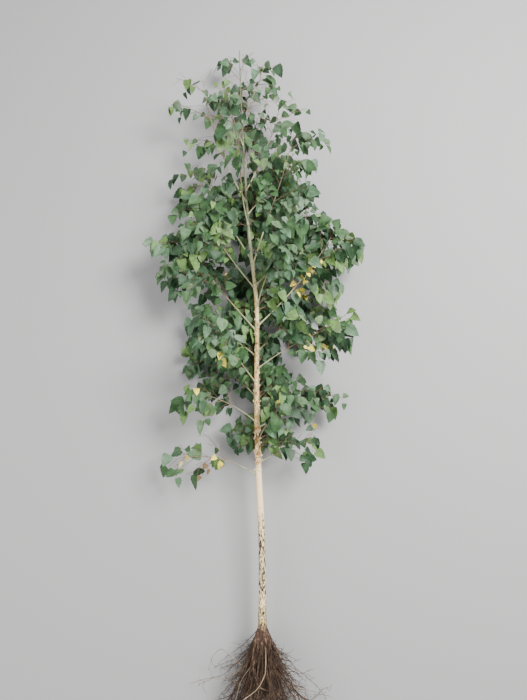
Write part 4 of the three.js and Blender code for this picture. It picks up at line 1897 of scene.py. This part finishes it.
MAIN_ROOTS = (
    MainRoot("left", 178, 24, 11, 0.38),
    MainRoot("upper_left", 128, 17, 10, 0.35),
    MainRoot("upper_right", 58, 15, 12, 0.36),
    MainRoot("right", 2, 26, 14, 0.40),
    MainRoot("lower_right", 318, 20, 10, 0.37),
    MainRoot("lower_middle", 262, 11, 6, 0.35),
    MainRoot("lower_left", 218, 20, 8, 0.38),
)


@dataclass(frozen=True)
class Fibre:
    """How thick the fibres of one piece are, and how round."""

    name: str
    root: float  # diameter
    tip: float
    sides: int


@dataclass(frozen=True)
class FibreOrder(Fibre):
    """One order of fibres: how densely they leave the order before, and how they run."""

    spacing: float
    steps: int
    wander: float
    angle: Span  # from their parent, in degrees
    reach: Span


@dataclass
class Roots:
    """The root crown, the main roots and the fibres that hang from them."""

    trunk: Trunk
    all: tuple[MainRoot, ...] = MAIN_ROOTS
    crown_length: float = 0.066
    crown_diameter: float = 0.050
    crown_end: float = 0.034
    crown_widest: float = 0.5
    crown_overlap: float = 0.003
    crown_twist: float = 0.7
    ridge: Span = (0.0085, 0.34)  # how high it stands, and its width in radians
    tucked: float = 0.0012  # how far the top lies inside the trunk's foot
    crown_rings: int = 90
    crown_sides: int = 120
    bare: float = 0.44
    diameter: float = 0.015
    end_diameter: float = 0.0055
    tip_diameter: float = 0.0012
    power: float = 0.8
    turn: float = 2.4
    walk: Walk = Walk(sway=0.007, sag=0.062)
    rings: int = 90
    sides: int = 14
    stray: float = 0.006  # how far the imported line's own place is left
    line_points: int = 25
    fibre_ground: Ground = Ground(0.0018, 0.03)
    strands: int = 230
    strand_reach: Span = (0.11, 0.35)
    strand_splay: float = 0.40
    strand_steps: int = 16
    strand_wander: float = 0.5
    pale_roots: int = 12
    thick_roots: int = 20
    thick: Span = (0.0088, 0.0028)  # diameters
    thick_reach: Span = (0.09, 0.24)
    thick_splay: float = 0.2
    thick_rings: int = 41
    thick_sides: int = 9
    bowed: tuple[tuple[Colour, ...], ...] = (  # pale roots that show one by one, from the collar
        (  # a high bow to the left
            (-0.02, -0.10, -0.01), (-0.07, -0.125, -0.01), (-0.112, -0.095, 0.0),
            (-0.150, -0.072, -0.01), (-0.183, -0.105, -0.04), (-0.205, -0.170, -0.085),
        ),
        (
            (0.02, -0.09, -0.01), (0.07, -0.155, -0.01), (0.107, -0.204, -0.02),
            (0.17, -0.225, -0.05), (0.25, -0.26, -0.09),
        ),
        ((0.03, -0.12, -0.02), (0.10, -0.19, -0.03), (0.15, -0.245, -0.06), (0.185, -0.30, -0.09)),
        ((-0.03, -0.10, -0.01), (-0.137, -0.174, -0.02), (-0.19, -0.18, -0.04), (-0.27, -0.215, -0.085)),
        (
            (-0.01, -0.08, 0.01), (-0.044, -0.152, 0.01), (-0.024, -0.22, 0.0),
            (-0.055, -0.26, -0.03), (-0.09, -0.31, -0.07),
        ),
        (
            (-0.03, -0.21, 0.0), (0.0, -0.232, 0.005), (0.036, -0.235, 0.0),
            (0.07, -0.207, -0.01), (0.10, -0.24, -0.05),
        ),
    )
    pale: Fibre = Fibre("pale_roots", 0.0036, 0.0014, 6)
    side: FibreOrder = FibreOrder(
        "side_roots", 0.0031, 0.0010, 5, 0.0125, 16, 0.75, angle=(12, 40), reach=(0.08, 0.21)
    )
    fine: FibreOrder = FibreOrder(
        "fine_roots", 0.0014, 0.0006, 3, 0.0215, 9, 1.1, angle=(18, 60), reach=(0.02, 0.095)
    )
    hairs: FibreOrder = FibreOrder(
        "root_hairs", 0.0006, 0.0003, 3, 0.029, 4, 1.1, angle=(25, 80), reach=(0.005, 0.022)
    )

    @property
    def nodes(self) -> list[str]:
        """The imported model's bunches of fine roots."""
        return [f"roots_{root.name}" for root in self.all]

    @cached_property
    def way(self) -> Floats:
        """The direction down from the collar."""
        return -self.trunk.grown.direction(0.0)

    @cached_property
    def lines(self) -> list[Line]:
        """The main roots' centrelines, by the source's rule.

        A root leaves the crown's middle at its spread from the tree's axis, and the angle grows by
        bend times sine(turn times share).

        Returns:
            One line for each main root.
        """
        start = self.trunk.grown.points[0] + self.way * self.crown_length * self.crown_widest
        made = []
        for root in self.all:
            angle = np.radians(root.spread + root.bend * np.sin(self.walk.middles * self.turn))
            ways = turned(-ALONG, around_trunk(root.around), angle)
            line = self.walk.line(start, ways, root.reach, root.around)
            made.append(line.moved(self.trunk.shift))
        return made

    def crown_radius(self, share: Floats) -> Floats:
        """The crown's radius: a quarter of a sine wave to its widest, and a straight fall below.

        Args:
            share: of the crown's length, from the collar.

        Returns:
            A radius for each.
        """
        top = float(self.trunk.radius(0.0))
        swell = np.sin(np.minimum(share / self.crown_widest, 1.0) * np.pi / 2)
        past = np.clip((share - self.crown_widest) / (1 - self.crown_widest), 0.0, 1.0)
        upper = top + (self.crown_diameter / 2 - top) * swell
        return upper + (self.crown_end - self.crown_diameter) / 2 * past

    def crown_surface(self) -> Surface:
        """The root crown: a knotted swelling that starts inside the trunk's foot.

        A ridge, a bell curve around the crown, runs down to each main root. Noise gives its knobs
        and its strands, which wind round it a little. At the top, the skin swells as the trunk's.

        Returns:
            A closed surface.
        """
        share = np.linspace(0.0, 1.0, self.crown_rings)[:, None]
        angle = 2 * np.pi * np.arange(self.crown_sides) / self.crown_sides
        radius = self.crown_radius(share) * (1.0 - 0.35 * ramped(share, 0.4, 1.0))
        first, second = square_pair(self.way, RIGHT)
        outward = turned(first, second, angle)
        down = share * (self.crown_length + self.crown_overlap) - self.crown_overlap
        place = self.trunk.collar + self.way * down[..., None]
        skin = place + outward * radius[..., None]
        ridges = self.trunk.flute(angle, self.trunk.flute_turn) * (1.0 - ramped(share, 0.0, 0.5))
        high, wide = self.ridge
        for root in self.all:
            side = around_trunk(root.around)
            off = angle - float(np.arctan2(side @ second, side @ first))
            off = (off + np.pi) % (2 * np.pi) - np.pi
            ridges += high * bell(off, wide) * ramped(share, 0.1, 0.75)
        wound = turned(first, second, angle + self.crown_twist * share)
        grain = place + wound * radius[..., None]
        strand = 0.0048 * relief(grain, (0.0042, 0.03, 0.0042), 11)
        strand += 0.0024 * relief(grain, (0.002, 0.010, 0.002), 12)
        strand += 0.0070 * relief(skin, (0.012, 0.015, 0.012), 17)
        fade = ramped(share, 0.04, 0.22)
        tucked = self.tucked * (1.0 - ramped(share, 0.0, 0.05))
        skin_relief = (1.0 - fade) * (self.trunk.swells(skin) - tucked) + fade * strand
        rings = skin + outward * (ridges + skin_relief)[..., None]
        ends = np.array([[-self.crown_overlap - 0.001], [self.crown_length + 0.001]])
        poles = self.trunk.collar + self.way * ends
        return tube_surface(rings[None], poles[:1], poles[1:])

    def main_surface(self, thick: Shoots) -> Surface:
        """The main roots, woody at first and then thin, and the thick ones as rough tapering tubes.

        Args:
            thick: the roots between the main ones.

        Returns:
            One closed surface.
        """
        share = np.linspace(0.0, 1.0, self.rings)
        paths = np.stack([line.at(share) for line in self.lines])
        woody = taper(share / self.bare, self.diameter, self.end_diameter, self.power)
        beyond = np.clip((share - self.bare) / (1 - self.bare), 0.0, 1.0)
        thin = taper(beyond, self.end_diameter, self.tip_diameter, 0.9)
        stray = 2 * np.stack([relief(paths, (0.03,) * 3, seed) for seed in (13, 14, 15)], -1)
        paths = paths + self.stray * stray * ramped(share, 0.05, 0.3)[:, None]
        rough = 0.8 + 0.4 * noise(paths, (0.007,) * 3, 16)
        main = tubes(paths, np.where(share < self.bare, woody, thin) * rough, self.sides)
        between = smooth_curves(thick.paths, self.thick_rings - 1)
        rough = 0.75 + 0.5 * noise(between, (0.006,) * 3, 18)
        radii = taper(np.linspace(0.0, 1.0, self.thick_rings), *self.thick, 0.8) * rough
        return Surface.joined([main, tubes(between, radii, self.thick_sides)])

    def wandering(
        self, start: Floats, way: Floats, length: Floats, steps: int, wander: float,
        random: np.random.Generator,
    ) -> Floats:
        """Paths of fibres that wander as they go.

        The direction at each step is the first one + all random pushes so far, each wander over the
        root of the number of steps, + a slight pull down to the ground and away from the tree.

        Args:
            start: (fibres, 3).
            way: (fibres, 3), their first directions.
            length: of each fibre.
            steps: of a path.
            wander: how far the direction strays.
            random: the stream that the pushes come from.

        Returns:
            (fibres, steps + 1, 3).
        """
        pushes = random.normal(size=(len(start), steps, 3)) * wander / np.sqrt(steps)
        strayed = unit(way[:, None] + np.cumsum(pushes, axis=1) - 0.12 * UP - 0.2 * ALONG)
        grown = start[:, None] + np.cumsum(strayed, axis=1) * length[:, None, None] / steps
        paths = np.concatenate([start[:, None], grown], axis=1)
        return self.fibre_ground.under(paths)

    def crown_strands(
        self, count: int, random: np.random.Generator, reach: Span, splay: float
    ) -> Shoots:
        """Long strands that leave the crown's skin all round and run down over it.

        Args:
            count: how many.
            random: the stream that their draws come from.
            reach: the shortest and the longest.
            splay: how far the widest of them spreads.

        Returns:
            The strands.
        """
        angle = random.uniform(-np.pi, np.pi, count)
        side = turned(RIGHT, UP, angle)
        depth = 0.95 * random.uniform(0.0, 1.0, count) ** 1.6
        radius = self.crown_radius(depth) - 0.0008
        start = self.trunk.collar + self.way * (depth * self.crown_length)[:, None]
        spread = 0.12 + splay * random.uniform(0, 1, count) ** 1.3
        way = unit(self.way + side * spread[:, None])
        length = random.uniform(*reach, count)
        start = start + side * radius[:, None]
        paths = self.wandering(start, way, length, self.strand_steps, self.strand_wander, random)
        return Shoots(paths, side, length)

    def branches(self, parent: Shoots, order: FibreOrder, random: np.random.Generator) -> Shoots:
        """Fibres of one order, all along their parents, each a golden angle round from the last.

        Args:
            parent: the shoots that carry them.
            order: how they run.
            random: the stream that their draws come from.

        Returns:
            The fibres.
        """
        index, number, place = parent.spaced(0.1, 1.0, order.spacing)
        start, stem = parent.at(index, place), parent.direction(index, place)
        turn = number * GOLDEN_ANGLE + random.uniform(0, 1.5, len(index))
        angle = np.radians(random.uniform(*order.angle, len(index)))
        outward = turned(*square_pair(stem, UP + 0.3 * RIGHT), turn)
        way = turned(stem, outward, angle)
        length = random.uniform(*order.reach, len(index)) * (1 - 0.5 * place)
        paths = self.wandering(start, way, length, order.steps, order.wander, random)
        return Shoots(paths, outward, length)

    def show_fibres(self, fibre: Fibre, paths: Floats, bark: bpy.types.Material) -> None:
        """Shows fibres as thin tapering tubes.

        Args:
            fibre: how thick they are.
            paths: (fibres, points, 3).
            bark: their finish.
        """
        radii = taper(np.linspace(0.0, 1.0, paths.shape[1]), fibre.root, fibre.tip)
        show(fibre.name, tubes(paths, radii, fibre.sides), [bark], self.nodes)

    def build(self) -> None:
        """Shows the crown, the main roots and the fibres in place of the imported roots."""
        brown = RootBark("strand_bark", (0.052, 0.031, 0.021), (0.18, 0.113, 0.072), 70, 0.0005)
        dark = RootBark("fibre_bark", (0.037, 0.023, 0.016), (0.125, 0.079, 0.050), 60, 0.0002)
        pale = RootBark("pale_root_bark", (0.27, 0.195, 0.125), (0.47, 0.37, 0.26), 60, 0.0003)
        bark = CROWN_BARK.material()
        show("root_crown_bark", self.crown_surface(), [bark], ["root_crown"])
        random = np.random.default_rng(71)
        thick = self.crown_strands(self.thick_roots, random, self.thick_reach, self.thick_splay)
        show("main_roots", self.main_surface(thick), [bark], self.nodes)
        share = np.linspace(0.0, 1.0, self.line_points)
        paths = np.stack([line.at(share) for line in self.lines])
        main = Shoots(paths, np.zeros((len(paths), 3)), np.array([r.reach for r in self.all]))
        hung = self.crown_strands(self.strands, random, self.strand_reach, self.strand_splay)
        side = Shoots.joined([hung, self.branches(main, self.side, random)])
        fine = self.branches(side, self.fine, random)
        hairs = self.branches(fine, self.hairs, random)
        strays = self.crown_strands(self.pale_roots, random, self.strand_reach, self.strand_splay)
        bowed = smooth_curves(self.bowed, self.strand_steps) + self.trunk.collar
        fibre = dark.material()
        self.show_fibres(self.side, side.paths, brown.material())
        self.show_fibres(self.fine, fine.paths, fibre)
        self.show_fibres(self.hairs, hairs.paths, fibre)
        self.show_fibres(self.pale, np.concatenate([strays.paths, bowed]), pale.material())


# The studio


@dataclass(frozen=True)
class Lamp:
    """A square lamp that shines at the middle of the tree."""

    name: str
    place: Colour
    size: float  # of its side
    power: float  # in watts


@dataclass
class Studio:
    """A pale floor, soft light and a camera that looks down on the tree."""

    trunk: Trunk
    floor_size: float = 60.0
    floor_height: float = -0.0004
    floor_colour: Colour = (0.37, 0.366, 0.362)
    backdrop: Colour = (0.80, 0.81, 0.83)
    backdrop_strength: float = 0.85
    lamps: tuple[Lamp, ...] = (
        Lamp("key_light", (2.0, 1.2, 3.2), 1.9, 375.0),
        Lamp("fill_light", (-2.4, -0.8, 2.8), 2.6, 75.0),
    )
    aim: Colour = (0.0, 0.0, 0.15)  # where they shine
    camera_from_collar: Colour = (0.004, 0.6387, 2.115)
    camera_tilt: float = 11.0  # in degrees
    lens: float = 27.2
    long_side: float = 36.0  # of the camera's sensor

    def floor(self) -> None:
        """The floor that the tree lies on."""
        half = self.floor_size / 2
        ends = ((-half, -half), (half, -half), (half, half), (-half, half))
        corners = [(*end, self.floor_height) for end in ends]
        mesh = bpy.data.meshes.new("floor")
        mesh.from_pydata(corners, [], [(0, 1, 2, 3)])
        s = Shader("floor_paint")
        s.relief(s.grain((140, 140, 140)), 0.0002, 0.3)
        mesh.materials.append(s.finish(self.floor_colour, 0.85, 0.2))
        floor = bpy.data.objects.new("floor", mesh)
        bpy.context.scene.collection.objects.link(floor)

    def light(self, lamp: Lamp) -> None:
        """Hangs up one lamp."""
        light = bpy.data.lights.new(lamp.name, "AREA")
        light.size = lamp.size
        light.energy = lamp.power
        held = bpy.data.objects.new(lamp.name, light)
        held.location = lamp.place
        towards = unit(np.array(self.aim) - np.array(lamp.place))
        pitch = float(np.arccos(-towards[2]))
        held.rotation_euler = (pitch, 0.0, float(np.arctan2(-towards[0], towards[1])))
        bpy.context.scene.collection.objects.link(held)

    def camera(self) -> None:
        """The camera, at the photograph's angle to the trunk."""
        lens = bpy.data.cameras.new("camera")
        lens.lens = self.lens
        lens.sensor_width = self.long_side
        camera = bpy.data.objects.new("camera", lens)
        camera.location = self.trunk.collar + np.array(self.camera_from_collar)
        camera.rotation_euler = (np.radians(self.camera_tilt), 0.0, 0.0)
        bpy.context.scene.collection.objects.link(camera)
        bpy.context.scene.camera = camera

    def build(self) -> None:
        """Sets up the floor, the lamps, the backdrop's light and the camera."""
        self.floor()
        for lamp in self.lamps:
            self.light(lamp)
        world = bpy.data.worlds.new("backdrop")
        world.use_nodes = True
        backdrop = world.node_tree.nodes["Background"]
        backdrop.inputs["Color"].default_value = (*self.backdrop, 1.0)
        backdrop.inputs["Strength"].default_value = self.backdrop_strength
        bpy.context.scene.world = world
        self.camera()


def write_sizes() -> None:
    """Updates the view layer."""
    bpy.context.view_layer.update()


def main() -> None:
    """Builds the studio and the tree, from the trunk outwards."""
    logging.basicConfig(level=logging.INFO, format="%(message)s")
    trunk = Trunk()
    Studio(trunk).build()
    boughs = Boughs(trunk)
    trunk.build(boughs)
    BarkCurls(trunk).build()
    boughs.build()
    twigs = Twigs(boughs.masses())
    twigs.build()
    Leaves(twigs, trunk).build()
    Roots(trunk).build()
    write_sizes()


if __name__ == "__main__":
    main()
